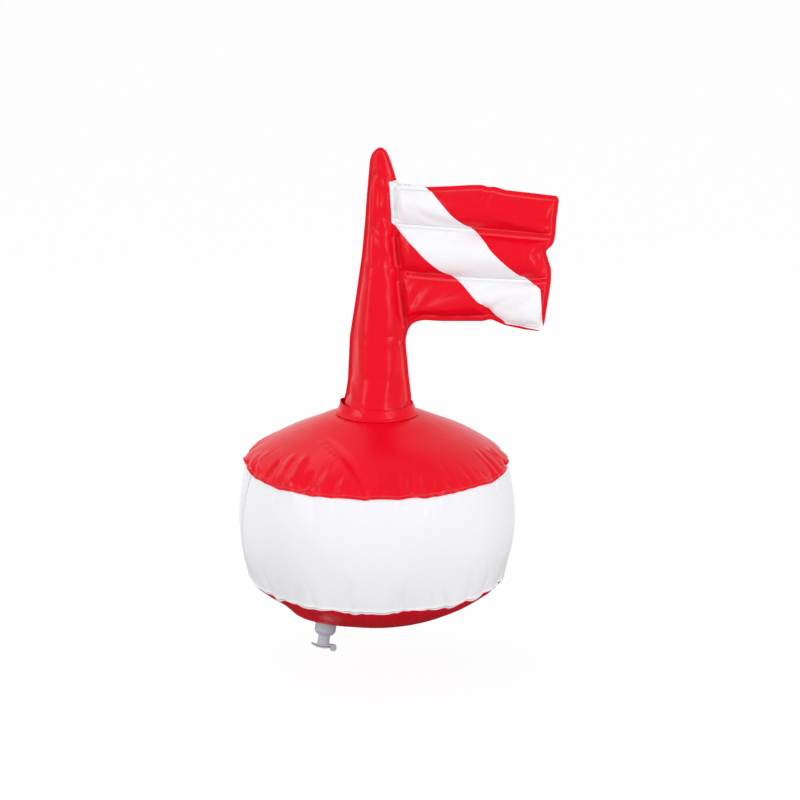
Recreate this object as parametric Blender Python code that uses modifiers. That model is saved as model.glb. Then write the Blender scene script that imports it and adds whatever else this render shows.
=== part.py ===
"""Dive flag float: an inflatable round float with an inflated mast and a three-chamber flag.

The origin is the middle of the lower seam, on the upright axis. +Z runs up the mast, the flag
flies towards +X, and -Y is the front.
"""
import math

import bmesh
import bpy
from mathutils import Matrix, Vector

MM = 0.001
DEG = math.pi / 180
X_AXIS = Vector((1, 0, 0))
Y_AXIS = Vector((0, 1, 0))
Z_AXIS = Vector((0, 0, 1))

# Films and the clearance between pieces that touch
FILM = 0.5 * MM
STRIPE_FILM = 0.3 * MM
GAP = 0.3 * MM
SEAM_STEP = FILM + GAP
CUT_OVERRUN = 10.0 * MM
MERGE = 0.001 * MM
SHARP_ANGLE = 40 * DEG

# Float body: two discs and a band between them, blown up to a drum
BODY_RADIUS = 150.0 * MM
TOP_SEAM_RADIUS = 142.5 * MM
BOTTOM_SEAM_RADIUS = 138.5 * MM
BAND_HEIGHT = 132.0 * MM
BAND_WIDEST_SHARE = 0.50
SEAM_LAP = 5.0 * MM
TOP_RISE = 46.0 * MM
TOP_CURVE_POWER = 3.0
BOTTOM_DEPTH = 50.0 * MM
BOTTOM_CURVE_POWER = 2.0
AIR_HOLE_RADIUS = 12.0 * MM
BODY_SEGMENTS = 48
BAND_ROWS = 8
TOP_RING_SHARES = (0.0, 0.12, 0.28, 0.45, 0.62, 0.78, 0.91, 1.0)
BOTTOM_RING_SHARES = (0.0, 0.10, 0.20, 0.31, 0.42, 0.53, 0.64, 0.75, 0.86, 1.0)

# Collar between the mast and the top panel
CUFF_TOP_RADIUS = 41.0 * MM
CUFF_FOOT_RADIUS = 42.5 * MM
CUFF_FLANGE = 3.2 * MM
CUFF_HEIGHT = 16.0 * MM
FOOT_RISE = 8.0 * MM
FOOT_RISE_REACH = 26.0 * MM

# Mast: widths and leans at heights given as shares of the mast's height, from foot to tip
MAST_HEIGHT = 290.5 * MM
MAST_FOOT_RADIUS = CUFF_TOP_RADIUS - FILM - 3 * GAP
MAST_EDGE_WELD = 4.5 * MM
MAST_FOOT_WELD = 1.5 * MM
MAST_FOOT_WELD_SHARE = 0.06
MAST_WIDTH_SHARES = (
    (0.0, 1.0), (0.065, 0.955), (0.14, 0.875), (0.28, 0.79), (0.33, 0.785), (0.44, 0.672), (0.51, 0.592),
    (0.59, 0.508), (0.67, 0.432), (0.72, 0.431), (0.85, 0.413), (0.88, 0.406), (0.93, 0.33), (0.965, 0.265),
    (0.987, 0.18), (1.0, 0.06))
MAST_LEAN_SHARES = ((0.0, 0.0), (0.065, 0.03), (0.28, 0.02), (0.44, 0.08), (0.67, 0.07), (0.85, 0.14),
                    (0.93, 0.13), (1.0, 0.11))
MAST_DEPTH_SHARES = ((0.0, 1.0), (0.06, 0.96), (0.14, 0.88), (0.6, 0.85), (1.0, 0.8))
MAST_TIP_CLOSE_SHARE = 0.90
MAST_TIP_WELD_SHARE = 0.983
MAST_FOOT_ROW_SHARES = (0.0, 0.10, 0.22, 0.35, 0.56, 0.77)
MAST_TIP_ROW_SHARES = (0.32, 0.58, 0.77, 0.87, 1.0)
MAST_COLUMN_SHARES = (-1.0, -0.93, -0.72, -0.4, 0.0, 0.4, 0.72, 0.93, 1.0)

# Flag: three chambers between welds, hung from a height below the mast's tip
FLAG_LENGTH = 180.0 * MM
FLAG_TIP_DROP = 38.5 * MM
FLAG_CHAMBER = 48.5 * MM
FLAG_CHAMBERS = 3
FLAG_THICKNESS = 25.0 * MM
FLAG_EDGE_WELD = 5.0 * MM
FLAG_CHAMBER_WELD = 3.0 * MM
FLAG_END_ROUND = 20.0 * MM
FLAG_FILLET = 23.0 * MM
FLAG_FLY_DRAW = 14.0 * MM
FLAG_PINCH = 6.0 * MM
FLAG_PINCH_HEIGHT_SHARE = 0.575
FLAG_PINCH_REACH = 9.0 * MM
FLAG_CHAMBER_ROW_SHARES = (-1.0, -0.88, -0.5, 0.0, 0.5, 0.88, 1.0)
FLAG_COLUMN_SHARES = (0.035, 0.09, 0.22, 0.40, 0.58, 0.76, 0.88, 0.94)

# White stripe film, from the upper hoist to the lower fly
STRIPE_WIDTH = 58.0 * MM
STRIPE_SLOPE = 39.3 * DEG
STRIPE_MAST_LAP = 6.5 * MM
STRIPE_START = 33.0 * MM
STRIPE_END_MARGIN = 4.0 * MM
STRIPE_EDGE_MARGIN = 1.0 * MM

# Inflation valve, off the middle of the bottom panel; its own axis points out of the float
VALVE_OFFSET = 71.0 * MM
VALVE_BEARING = -122.6 * DEG
VALVE_TILT = 10.5 * DEG
VALVE_PANEL_DROP = 0.2 * MM
VALVE_SEAT_RADIUS = 26.0 * MM
VALVE_BLEND_RADIUS = 48.0 * MM
VALVE_LOOP_BEARING = 18.0 * DEG
VALVE_SEGMENTS = 32
COLLAR_RADIUS = 11.45 * MM
COLLAR_LENGTH = 14.5 * MM
COLLAR_CHAMFER = 2.8 * MM
COLLAR_CHAMFER_LENGTH = 3.6 * MM
COLLAR_NECK = 5.2 * MM
COLLAR_NECK_WALL = 2.0 * MM
BASE_FLANGE_RADIUS = 17.0 * MM
BASE_FLANGE = 1.0 * MM
STEM_RADIUS = 6.4 * MM
STEM_BORE = 4.5 * MM
STEM_SHOWN = 12.5 * MM
STEM_RIM = 0.75 * MM
STEM_RIM_LENGTH = 1.6 * MM
STEM_LIP = 1.8 * MM
STEM_LIP_LENGTH = 2.7 * MM
FLAP_THICKNESS = 0.6 * MM

# Plug: stopper, cap, pull tab and hinge loop
STOPPER_LENGTH = 4.0 * MM
STOPPER_TAPER = 0.9 * MM
CAP_RADIUS = 8.0 * MM
CAP_EDGE = 1.3 * MM
CAP_CROWN = 2.6 * MM
CAP_CROWN_SHARE = 0.72
HINGE_REACH = 11.5 * MM
HINGE_RISE = 1.2 * MM
LOOP_RADIUS = 3.5 * MM
LOOP_WIDTH = 3.2 * MM
PIN_RADIUS = 1.5 * MM
EAR_THICKNESS = 1.4 * MM
EAR_WEB_DROP = 2.1 * MM
ARM_THICKNESS = 1.7 * MM
TAB_REACH = 12.8 * MM
TAB_WIDTH = 7.0 * MM
TAB_THICKNESS = 2.2 * MM
TAB_CURL = 2.6 * MM
TAB_STEPS = 5

# Line tab under the middle of the bottom panel
PATCH_RADIUS = 22.0 * MM
PATCH_THICKNESS = 1.0 * MM
LINE_TAB_WIDTH = 26.0 * MM
LINE_TAB_ROOT = 6.0 * MM
LINE_TAB_REACH = 42.0 * MM
LINE_TAB_THICKNESS = 1.2 * MM
EYELET_BORE = 4.5 * MM
EYELET_WALL = 0.8 * MM
EYELET_FLANGE_RADIUS = 9.0 * MM
EYELET_FLANGE = 0.8 * MM
EYELET_SEGMENTS = 24
ROUND_STEPS = 12

# Film and moulding colours, with roughness and metallic value
RED = (0.72, 0.006, 0.016, 1.0)
WHITE = (0.80, 0.80, 0.84, 1.0)
GREY = (0.42, 0.42, 0.45, 1.0)
NICKEL = (0.62, 0.60, 0.57, 1.0)

TOP_Z = BAND_HEIGHT + TOP_RISE + FOOT_RISE


def clear_scene():
    """Remove whatever the file opened with."""
    for item in list(bpy.data.objects):
        bpy.data.objects.remove(item, do_unlink=True)


def make_collection(name):
    """Return a new collection in the scene."""
    group = bpy.data.collections.new(name)
    bpy.context.scene.collection.children.link(group)
    return group


def make_material(name, colour, roughness, metallic=0.0):
    """Return a plain Principled material."""
    material = bpy.data.materials.new(name)
    material.use_nodes = True
    shader = material.node_tree.nodes["Principled BSDF"]
    shader.inputs["Base Color"].default_value = colour
    shader.inputs["Roughness"].default_value = roughness
    shader.inputs["Metallic"].default_value = metallic
    return material


def add_piece(name, bm, material, group=None):
    """Turn a bmesh into an object in the parts' collection."""
    mesh = bpy.data.meshes.new(name)
    bm.to_mesh(mesh)
    bm.free()
    mesh.materials.append(material)
    piece = bpy.data.objects.new(name, mesh)
    (group or PARTS).objects.link(piece)
    return piece


def add_cutter(name, bm):
    """Turn a bmesh into a hidden cutter."""
    cutter = add_piece(name, bm, CUTTER, CUTTERS)
    cutter.hide_render = True
    cutter.display_type = "WIRE"
    return cutter


def smooth(piece):
    """Shade a round piece smooth, with its corners left sharp."""
    piece.data.shade_smooth()
    piece.data.set_sharp_from_angle(angle=SHARP_ANGLE)
    return piece


def read_shares(table, share):
    """Read a value from a table of shares, straight between its points."""
    for (low, first), (high, second) in zip(table, table[1:]):
        if share <= high:
            return first + (second - first) * (share - low) / (high - low)
    return table[-1][1]


def combine(piece, other, operation):
    """Give a piece a Boolean with another object."""
    cut = piece.modifiers.new(other.name, "BOOLEAN")
    cut.operation = operation
    cut.object = other
    cut.solver = "EXACT"
    return piece


def set_origin(piece, point):
    """Put a piece's origin on a point of its own mesh space."""
    piece.data.transform(Matrix.Translation(-point))
    piece.location = piece.location + point
    return piece


def spin_profile(profile, segments):
    """Spin a profile of (radius, height) points once round Z."""
    bm = bmesh.new()
    verts = [bm.verts.new((radius, 0, height)) for radius, height in profile]
    for first, second in zip(verts, verts[1:]):
        bm.edges.new((first, second))
    bmesh.ops.spin(bm, geom=bm.verts[:] + bm.edges[:], axis=Z_AXIS, cent=(0, 0, 0), dvec=(0, 0, 0),
                   angle=2 * math.pi, steps=segments, use_merge=True)
    bmesh.ops.remove_doubles(bm, verts=bm.verts[:], dist=MERGE)
    return bm


def turn_outwards(bm, inside):
    """Point the faces of an open shell away from a point inside it."""
    bm.normal_update()
    total = sum((face.calc_center_median() - inside).dot(face.normal) * face.calc_area() for face in bm.faces)
    if total < 0:
        bmesh.ops.reverse_faces(bm, faces=bm.faces[:])


def spun_shell(name, profile, material, thickness, shape=None):
    """A film spun from its outer profile, with its wall on the inside."""
    bm = spin_profile(profile, BODY_SEGMENTS)
    turn_outwards(bm, Vector((0, 0, BAND_HEIGHT / 2)))
    if shape:
        for vert in bm.verts:
            vert.co.z = shape(vert.co)
    piece = smooth(add_piece(name, bm, material))
    wall = piece.modifiers.new("film", "SOLIDIFY")
    wall.thickness = thickness
    wall.offset = -1
    return piece


def turned_solid(name, outline, material, segments):
    """A closed ring or a solid of revolution, from its outline."""
    bm = spin_profile(outline, segments)
    bmesh.ops.recalc_face_normals(bm, faces=bm.faces[:])
    return smooth(add_piece(name, bm, material))


def top_height(radius):
    """Outer surface of the top panel, lifted a little round the mast's foot."""
    dome = TOP_RISE * (1 - (radius / TOP_SEAM_RADIUS) ** TOP_CURVE_POWER)
    reach = max(radius - CUFF_FOOT_RADIUS, 0) / FOOT_RISE_REACH
    return BAND_HEIGHT + dome + FOOT_RISE * math.exp(-reach * reach)


def bottom_rim_radius():
    """Radius of the bottom panel at its seam, inside the band's lap."""
    return BOTTOM_SEAM_RADIUS - SEAM_STEP


def bottom_height(radius):
    """Outer surface of the bottom panel before the valve's seat is drawn into it."""
    return -BOTTOM_DEPTH * (1 - (radius / bottom_rim_radius()) ** BOTTOM_CURVE_POWER)


def band_radius(height):
    """Outer radius of the band, which bulges between its seams."""
    share = height / BAND_HEIGHT
    top = TOP_SEAM_RADIUS - SEAM_STEP
    straight = BOTTOM_SEAM_RADIUS + (top - BOTTOM_SEAM_RADIUS) * share
    middle = BOTTOM_SEAM_RADIUS + (top - BOTTOM_SEAM_RADIUS) * BAND_WIDEST_SHARE
    return straight + (BODY_RADIUS - middle) * math.sin(math.pi * share)


def make_top_panel():
    """Red dome with the mast's air hole, its rim folded down over the band."""
    start = CUFF_FOOT_RADIUS + CUFF_FLANGE
    radii = [AIR_HOLE_RADIUS, MAST_FOOT_RADIUS, CUFF_FOOT_RADIUS]
    radii += [start + (TOP_SEAM_RADIUS - start) * share for share in TOP_RING_SHARES]
    profile = [(radius, top_height(radius)) for radius in radii]
    for drop in (SEAM_LAP / 2, SEAM_LAP):
        profile.append((band_radius(BAND_HEIGHT - drop) + SEAM_STEP, BAND_HEIGHT - drop))
    return spun_shell("top_panel", profile, RED_FILM, FILM)


def make_side_band():
    """White band, its lower edge lapped over the bottom panel."""
    rim = bottom_rim_radius()
    lap = rim - SEAM_LAP
    profile = [(lap + SEAM_STEP / 2, bottom_height(lap) - SEAM_STEP),
               (rim + SEAM_STEP, -SEAM_STEP / 2)]
    for row in range(1, BAND_ROWS):
        height = BAND_HEIGHT * row / BAND_ROWS
        profile.append((band_radius(height), height))
    profile.append((band_radius(BAND_HEIGHT), BAND_HEIGHT - SEAM_STEP / 2))
    return spun_shell("side_band", profile, WHITE_FILM, FILM)


def valve_point():
    """Where the valve's axis meets the outer face of the bottom panel."""
    height = bottom_height(VALVE_OFFSET) - VALVE_PANEL_DROP
    return Vector((VALVE_OFFSET * math.cos(VALVE_BEARING), VALVE_OFFSET * math.sin(VALVE_BEARING), height))


def valve_axis():
    """Direction in which the valve points out of the float."""
    outward = Vector((math.cos(VALVE_BEARING), math.sin(VALVE_BEARING), 0))
    return (outward * math.sin(VALVE_TILT) - Z_AXIS * math.cos(VALVE_TILT)).normalized()


def valve_matrix():
    """Valve frame: Z out of the float, X towards the plug's hinge loop."""
    out = valve_axis()
    side = Vector((math.cos(VALVE_LOOP_BEARING), math.sin(VALVE_LOOP_BEARING), 0))
    side = (side - out * side.dot(out)).normalized()
    turn = Matrix((side, out.cross(side), out)).transposed()
    return Matrix.Translation(valve_point()) @ turn.to_4x4()


def seated_height(place):
    """Bottom panel's surface, flat round the valve and blended back into the dome."""
    seat = valve_point()
    out = valve_axis()
    away = math.hypot(place.x - seat.x, place.y - seat.y)
    share = min(max((away - VALVE_SEAT_RADIUS) / (VALVE_BLEND_RADIUS - VALVE_SEAT_RADIUS), 0), 1)
    weight = 1 - share * share * (3 - 2 * share)
    flat = seat.z - (out.x * (place.x - seat.x) + out.y * (place.y - seat.y)) / out.z
    return place.z + weight * (flat - place.z)


def make_bottom_panel():
    """Red dome underneath, with the hole that the valve's collar passes through."""
    rim = bottom_rim_radius()
    radii = [0.0, PATCH_RADIUS / 2, PATCH_RADIUS]
    radii += [PATCH_RADIUS + (rim - PATCH_RADIUS) * share for share in BOTTOM_RING_SHARES[1:]]
    profile = [(radius, bottom_height(radius)) for radius in radii]
    panel = spun_shell("bottom_panel", profile, RED_FILM, FILM, seated_height)
    hole = bmesh.new()
    bmesh.ops.create_cone(hole, cap_ends=True, segments=VALVE_SEGMENTS, radius1=COLLAR_RADIUS + GAP,
                          radius2=COLLAR_RADIUS + GAP, depth=2 * CUT_OVERRUN, matrix=valve_matrix())
    return combine(panel, add_cutter("valve_hole", hole), "DIFFERENCE")


def make_cuff():
    """Short red collar round the mast's foot, with a flange welded to the top panel."""
    flange = CUFF_FOOT_RADIUS + CUFF_FLANGE
    profile = [(CUFF_TOP_RADIUS, top_height(CUFF_FOOT_RADIUS) + CUFF_HEIGHT),
               (CUFF_FOOT_RADIUS, top_height(CUFF_FOOT_RADIUS) + SEAM_STEP),
               (flange, top_height(flange) + SEAM_STEP)]
    bm = spin_profile(profile, BODY_SEGMENTS)
    turn_outwards(bm, Vector((0, 0, BAND_HEIGHT)))
    piece = smooth(add_piece("mast_foot_cuff", bm, RED_FILM))
    wall = piece.modifiers.new("film", "SOLIDIFY")
    wall.thickness = FILM
    wall.offset = -1
    return piece


def mast_foot_height():
    """Height of the mast's lower edge, just above the top panel."""
    return top_height(MAST_FOOT_RADIUS) + GAP


def mast_half_width(share):
    """Half the mast's width, welds included."""
    return MAST_FOOT_RADIUS * read_shares(MAST_WIDTH_SHARES, share)


def mast_centre(share):
    """How far the mast's middle leans towards the flag."""
    return MAST_FOOT_RADIUS * read_shares(MAST_LEAN_SHARES, share)


def mast_weld(share):
    """Width of the mast's edge weld, narrower inside the cuff."""
    if share < MAST_FOOT_WELD_SHARE:
        return MAST_FOOT_WELD
    return min(MAST_EDGE_WELD, mast_half_width(share) / 2)


def mast_depth(share):
    """How far the mast swells from its weld plane, at its middle."""
    inner = mast_half_width(share) - mast_weld(share)
    depth = inner * read_shares(MAST_DEPTH_SHARES, share)
    if share > MAST_TIP_CLOSE_SHARE:
        close = (share - MAST_TIP_CLOSE_SHARE) / (MAST_TIP_WELD_SHARE - MAST_TIP_CLOSE_SHARE)
        depth *= math.sqrt(max(1 - close * close, 0))
    return depth


def flag_top():
    """Height of the flag's upper edge above the mast's foot."""
    return MAST_HEIGHT - FLAG_TIP_DROP


def flag_bottom():
    """Height of the flag's lower edge above the mast's foot."""
    return flag_top() - FLAG_CHAMBER * FLAG_CHAMBERS


def flag_rows():
    """Rows of the flag: its place among the chambers and how full the chamber is there.

    A place counts chambers up from the flag's lower edge.
    """
    weld = FLAG_CHAMBER_WELD / 2 / FLAG_CHAMBER
    edge = FLAG_EDGE_WELD / FLAG_CHAMBER
    rows = [(0.0, 0.0)]
    for chamber in range(FLAG_CHAMBERS):
        low = chamber + (edge if chamber == 0 else weld)
        high = chamber + 1 - (edge if chamber == FLAG_CHAMBERS - 1 else weld)
        for share in FLAG_CHAMBER_ROW_SHARES:
            rows.append(((low + high + (high - low) * share) / 2, math.sqrt(1 - share * share)))
    rows.append((float(FLAG_CHAMBERS), 0.0))
    return rows


def flag_height(place, reach):
    """Height above the mast's foot of a flag row, at a distance out from the mast."""
    height = flag_bottom() + FLAG_CHAMBER * place
    if place >= 1:
        return height
    drop = FLAG_FILLET
    if reach > 0:
        along = max(FLAG_FILLET - reach, 0)
        drop = FLAG_FILLET - math.sqrt(FLAG_FILLET * FLAG_FILLET - along * along)
    return height - drop * (1 - place)


def flag_length(place):
    """The flag's length at a row: shorter towards its foot, with a pinch in the fly edge."""
    share = place / FLAG_CHAMBERS
    off = (share - FLAG_PINCH_HEIGHT_SHARE) * FLAG_CHAMBER * FLAG_CHAMBERS / FLAG_PINCH_REACH
    return FLAG_LENGTH - FLAG_FLY_DRAW * (1 - share) - FLAG_PINCH * math.exp(-off * off)


def round_end(distance):
    """Fullness of a chamber near its closed end."""
    if distance >= FLAG_END_ROUND:
        return 1.0
    short = max(1 - distance / FLAG_END_ROUND, 0)
    return math.sqrt(1 - short * short)


def sheet_surface():
    """Front film of the mast and flag as one open surface, from a flat grid moved to shape."""
    flag = flag_rows()
    foot_rows = len(MAST_FOOT_ROW_SHARES)
    rows = foot_rows + len(flag) + len(MAST_TIP_ROW_SHARES) - 1
    mast_columns = len(MAST_COLUMN_SHARES) + 1
    columns = mast_columns + len(FLAG_COLUMN_SHARES) + 1
    bm = bmesh.new()
    bmesh.ops.create_grid(bm, x_segments=columns, y_segments=rows, size=1)
    beyond = []
    for face in bm.faces:
        middle = face.calc_center_median()
        column = (middle.x + 1) / 2 * columns
        row = (middle.y + 1) / 2 * rows
        if column > mast_columns and not foot_rows < row < foot_rows + len(flag) - 1:
            beyond.append(face)
    bmesh.ops.delete(bm, geom=beyond, context="FACES")
    for vert in bm.verts:
        column = round((vert.co.x + 1) / 2 * columns)
        row = round((vert.co.y + 1) / 2 * rows)
        vert.co = sheet_point(column, row, flag, foot_rows, mast_columns)
    bmesh.ops.triangulate(bm, faces=bm.faces[:])
    turn_outwards(bm, Vector((0, BODY_RADIUS, TOP_Z)))
    return bm


def sheet_point(column, row, flag, foot_rows, mast_columns):
    """Place of one grid point of the front film."""
    on_flag = foot_rows <= row < foot_rows + len(flag)
    place, full = flag[row - foot_rows] if on_flag else (0.0, 0.0)
    if on_flag:
        share = flag_height(place, 0) / MAST_HEIGHT
    elif row < foot_rows:
        share = flag_height(0.0, 0) / MAST_HEIGHT * MAST_FOOT_ROW_SHARES[row]
    else:
        low = flag_top() / MAST_HEIGHT
        share = low + (1 - low) * MAST_TIP_ROW_SHARES[row - foot_rows - len(flag)]
    half = mast_half_width(share)
    hoist = mast_centre(share) + half
    height = MAST_HEIGHT * share
    depth = 0.0
    if column <= mast_columns:
        inner = half - mast_weld(share)
        if column in (0, mast_columns):
            x = mast_centre(share) + (half if column else -half)
        else:
            across = MAST_COLUMN_SHARES[column - 1]
            x = mast_centre(share) + inner * across
            depth = mast_depth(share) * math.sqrt(1 - across * across)
    else:
        steps = FLAG_COLUMN_SHARES + (1.0,)
        length = flag_length(place)
        reach = length * steps[column - mast_columns - 1]
        chamber_end = length * FLAG_COLUMN_SHARES[-1]
        x = hoist + reach
        height = flag_height(place, reach)
        if reach < chamber_end:
            depth = FLAG_THICKNESS / 2 * full * min(round_end(reach), round_end(chamber_end - reach))
    return Vector((x, -(GAP / 2 + depth), mast_foot_height() + height))


def mirror_to_back(bm):
    """Turn the front film into the back one."""
    bmesh.ops.transform(bm, matrix=Matrix.Scale(-1, 4, Y_AXIS), verts=bm.verts[:])
    bmesh.ops.reverse_faces(bm, faces=bm.faces[:])
    return bm


def make_sheet(name, back):
    """One cut sheet of the mast and flag."""
    bm = sheet_surface()
    if back:
        mirror_to_back(bm)
    piece = smooth(add_piece(name, bm, RED_FILM))
    wall = piece.modifiers.new("film", "SOLIDIFY")
    wall.thickness = FILM
    wall.offset = 1
    return piece


def stripe_planes():
    """Planes that cut the stripe out of the flag's surface: a point and the side cut away."""
    foot = mast_foot_height()
    top = foot + flag_top()
    hoist_share = flag_top() / MAST_HEIGHT
    hoist = mast_centre(hoist_share) + mast_half_width(hoist_share)
    across = Vector((math.sin(STRIPE_SLOPE), 0, math.cos(STRIPE_SLOPE)))
    upper = Vector((hoist + STRIPE_START, 0, top))
    lower = upper - across * STRIPE_WIDTH
    fly = hoist + flag_length(0.0) - STRIPE_END_MARGIN
    return ((upper, across), (lower, -across),
            (Vector((hoist - STRIPE_MAST_LAP, 0, 0)), -X_AXIS),
            (Vector((fly, 0, 0)), X_AXIS),
            (Vector((0, 0, top - STRIPE_EDGE_MARGIN)), Z_AXIS),
            (Vector((0, 0, foot + flag_bottom() + STRIPE_EDGE_MARGIN)), -Z_AXIS))


def make_stripe(name, back):
    """White film laid over the flag, cut from the flag's own surface and lifted off it."""
    bm = sheet_surface()
    for point, side in stripe_planes():
        geometry = bm.verts[:] + bm.edges[:] + bm.faces[:]
        bmesh.ops.bisect_plane(bm, geom=geometry, dist=MERGE, plane_co=point, plane_no=side, clear_outer=True)
    if back:
        mirror_to_back(bm)
    bm.normal_update()
    lift = FILM + GAP
    moved = [vert.co + vert.normal * lift for vert in bm.verts]
    for vert, place in zip(bm.verts, moved):
        vert.co = place
    piece = smooth(add_piece(name, bm, WHITE_FILM))
    wall = piece.modifiers.new("film", "SOLIDIFY")
    wall.thickness = STRIPE_FILM
    wall.offset = 1
    return piece


def collar_bore():
    """Radius of the collar's bore, clear of the stem."""
    return STEM_RADIUS + GAP


def stem_mouth():
    """Distance of the stem's mouth from the panel, along the valve's axis."""
    return COLLAR_LENGTH + STEM_SHOWN


def stem_lip_start():
    """Where the stem's inner lip meets the collar's neck, below zero: inside the float."""
    return -(COLLAR_NECK + GAP)


def hinge_point():
    """Hinge of the plug, in the valve's frame."""
    return Vector((HINGE_REACH, 0, stem_mouth() + HINGE_RISE))


def on_valve(piece):
    """Carry a piece on the valve's own frame."""
    piece.parent = VALVE_FRAME
    return piece


def make_valve_base():
    """Grey collar with a flange welded inside the bottom panel."""
    bore = collar_bore()
    flange = -SEAM_STEP
    outline = [(bore, -COLLAR_NECK), (bore + COLLAR_NECK_WALL, -COLLAR_NECK),
               (bore + COLLAR_NECK_WALL, flange - BASE_FLANGE), (BASE_FLANGE_RADIUS, flange - BASE_FLANGE),
               (BASE_FLANGE_RADIUS, flange), (COLLAR_RADIUS, flange),
               (COLLAR_RADIUS, COLLAR_LENGTH - COLLAR_CHAMFER_LENGTH),
               (COLLAR_RADIUS - COLLAR_CHAMFER, COLLAR_LENGTH), (bore, COLLAR_LENGTH), (bore, -COLLAR_NECK)]
    return on_valve(turned_solid("valve_base", outline, GREY_PLASTIC, VALVE_SEGMENTS))


def box_between(low, high):
    """A box from its lowest to its highest corner."""
    bm = bmesh.new()
    size = high - low
    place = Matrix.Translation((low + high) / 2) @ Matrix.Diagonal((*size, 1))
    bmesh.ops.create_cube(bm, size=1, matrix=place)
    return bm


def disc_across(radius, low, high, centre):
    """A short cylinder along Y, from low to high."""
    bm = bmesh.new()
    middle = Vector((centre.x, (low + high) / 2, centre.z))
    place = Matrix.Translation(middle) @ Matrix.Rotation(math.pi / 2, 4, X_AXIS)
    bmesh.ops.create_cone(bm, cap_ends=True, segments=EYELET_SEGMENTS, radius1=radius, radius2=radius,
                          depth=high - low, matrix=place)
    return bm


def make_valve_stem():
    """Grey tube that slides in the collar, with the ears and pin that carry the plug."""
    mouth = stem_mouth()
    lip = stem_lip_start()
    outline = [(STEM_BORE, lip - STEM_LIP_LENGTH), (STEM_RADIUS + STEM_LIP, lip - STEM_LIP_LENGTH),
               (STEM_RADIUS + STEM_LIP, lip), (STEM_RADIUS, lip), (STEM_RADIUS, mouth - STEM_RIM_LENGTH),
               (STEM_RADIUS + STEM_RIM, mouth - STEM_RIM_LENGTH), (STEM_RADIUS + STEM_RIM, mouth),
               (STEM_BORE, mouth), (STEM_BORE, lip - STEM_LIP_LENGTH)]
    stem = turned_solid("valve_stem", outline, GREY_PLASTIC, VALVE_SEGMENTS)
    hinge = hinge_point()
    inner = LOOP_WIDTH / 2 + GAP
    outer = inner + EAR_THICKNESS
    foot = hinge.z - LOOP_RADIUS
    for label, low, high in (("left", -outer, -inner), ("right", inner, outer)):
        ear = add_cutter("ear_" + label, disc_across(LOOP_RADIUS, low, high, hinge))
        web = box_between(Vector(((STEM_BORE + STEM_RADIUS) / 2, low, foot)),
                          Vector((HINGE_REACH, high, foot + EAR_WEB_DROP)))
        combine(stem, on_valve(ear), "UNION")
        combine(stem, on_valve(add_cutter("ear_web_" + label, web)), "UNION")
    pin_end = (inner + outer) / 2
    pin = add_cutter("hinge_pin", disc_across(PIN_RADIUS, -pin_end, pin_end, hinge))
    combine(stem, on_valve(pin), "UNION")
    return on_valve(stem)


def make_valve_plug():
    """Grey stopper with its cap, pull tab and hinge loop."""
    mouth = stem_mouth()
    stopper = STEM_BORE - GAP
    underside = mouth + GAP
    outline = [(0, underside - STOPPER_LENGTH), (stopper - STOPPER_TAPER, underside - STOPPER_LENGTH),
               (stopper, underside), (CAP_RADIUS, underside), (CAP_RADIUS, underside + CAP_EDGE),
               (CAP_RADIUS * CAP_CROWN_SHARE, underside + (CAP_EDGE + CAP_CROWN) / 2),
               (0, underside + CAP_CROWN)]
    plug = turned_solid("valve_plug", outline, GREY_PLASTIC, VALVE_SEGMENTS)
    hinge = hinge_point()
    half = LOOP_WIDTH / 2
    loop = add_cutter("plug_loop", disc_across(LOOP_RADIUS, -half, half, hinge))
    arm_low = hinge.z - HINGE_RISE + GAP
    arm = box_between(Vector((CAP_RADIUS * CAP_CROWN_SHARE, -half, arm_low)),
                      Vector((HINGE_REACH, half, arm_low + ARM_THICKNESS)))
    bore = disc_across(PIN_RADIUS + GAP, -half - CUT_OVERRUN, half + CUT_OVERRUN, hinge)
    combine(plug, on_valve(loop), "UNION")
    combine(plug, on_valve(add_cutter("plug_arm", arm)), "UNION")
    combine(plug, on_valve(add_cutter("plug_tab", pull_tab(underside))), "UNION")
    combine(plug, on_valve(add_cutter("plug_loop_bore", bore)), "DIFFERENCE")
    return on_valve(set_origin(plug, hinge))


def pull_tab(underside):
    """Finger tab on the side away from the hinge, curled towards the float and narrowed."""
    root = -CAP_RADIUS * CAP_CROWN_SHARE
    half = TAB_WIDTH / 2
    bm = box_between(Vector((-TAB_REACH, -half, underside)), Vector((root, half, underside + TAB_THICKNESS)))
    lengthways = [edge for edge in bm.edges if abs((edge.verts[0].co - edge.verts[1].co).x) > TAB_THICKNESS]
    bmesh.ops.subdivide_edges(bm, edges=lengthways, cuts=TAB_STEPS - 1, use_grid_fill=True)
    for vert in bm.verts:
        along = (root - vert.co.x) / (TAB_REACH + root)
        vert.co.y *= math.sqrt(1 - (along * CAP_CROWN_SHARE) ** 2)
        vert.co.z -= TAB_CURL * along * along
    bmesh.ops.recalc_face_normals(bm, faces=bm.faces[:])
    return bm


def make_valve_flap():
    """Thin non-return disc over the stem's inner end, hinged at one side."""
    seat = stem_lip_start() - STEM_LIP_LENGTH - GAP
    outline = [(0, seat - FLAP_THICKNESS), (STEM_RADIUS, seat - FLAP_THICKNESS),
               (STEM_RADIUS, seat), (0, seat)]
    flap = turned_solid("valve_flap", outline, GREY_PLASTIC, VALVE_SEGMENTS)
    return on_valve(set_origin(flap, Vector((-STEM_RADIUS, 0, seat))))


def make_line_patch():
    """Round doubler welded under the middle of the bottom panel."""
    profile = []
    for radius in (0.0, PATCH_RADIUS / 2, PATCH_RADIUS):
        profile.append((radius, bottom_height(radius) - GAP - PATCH_THICKNESS))
    return spun_shell("line_patch", profile, RED_FILM, PATCH_THICKNESS)


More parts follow.
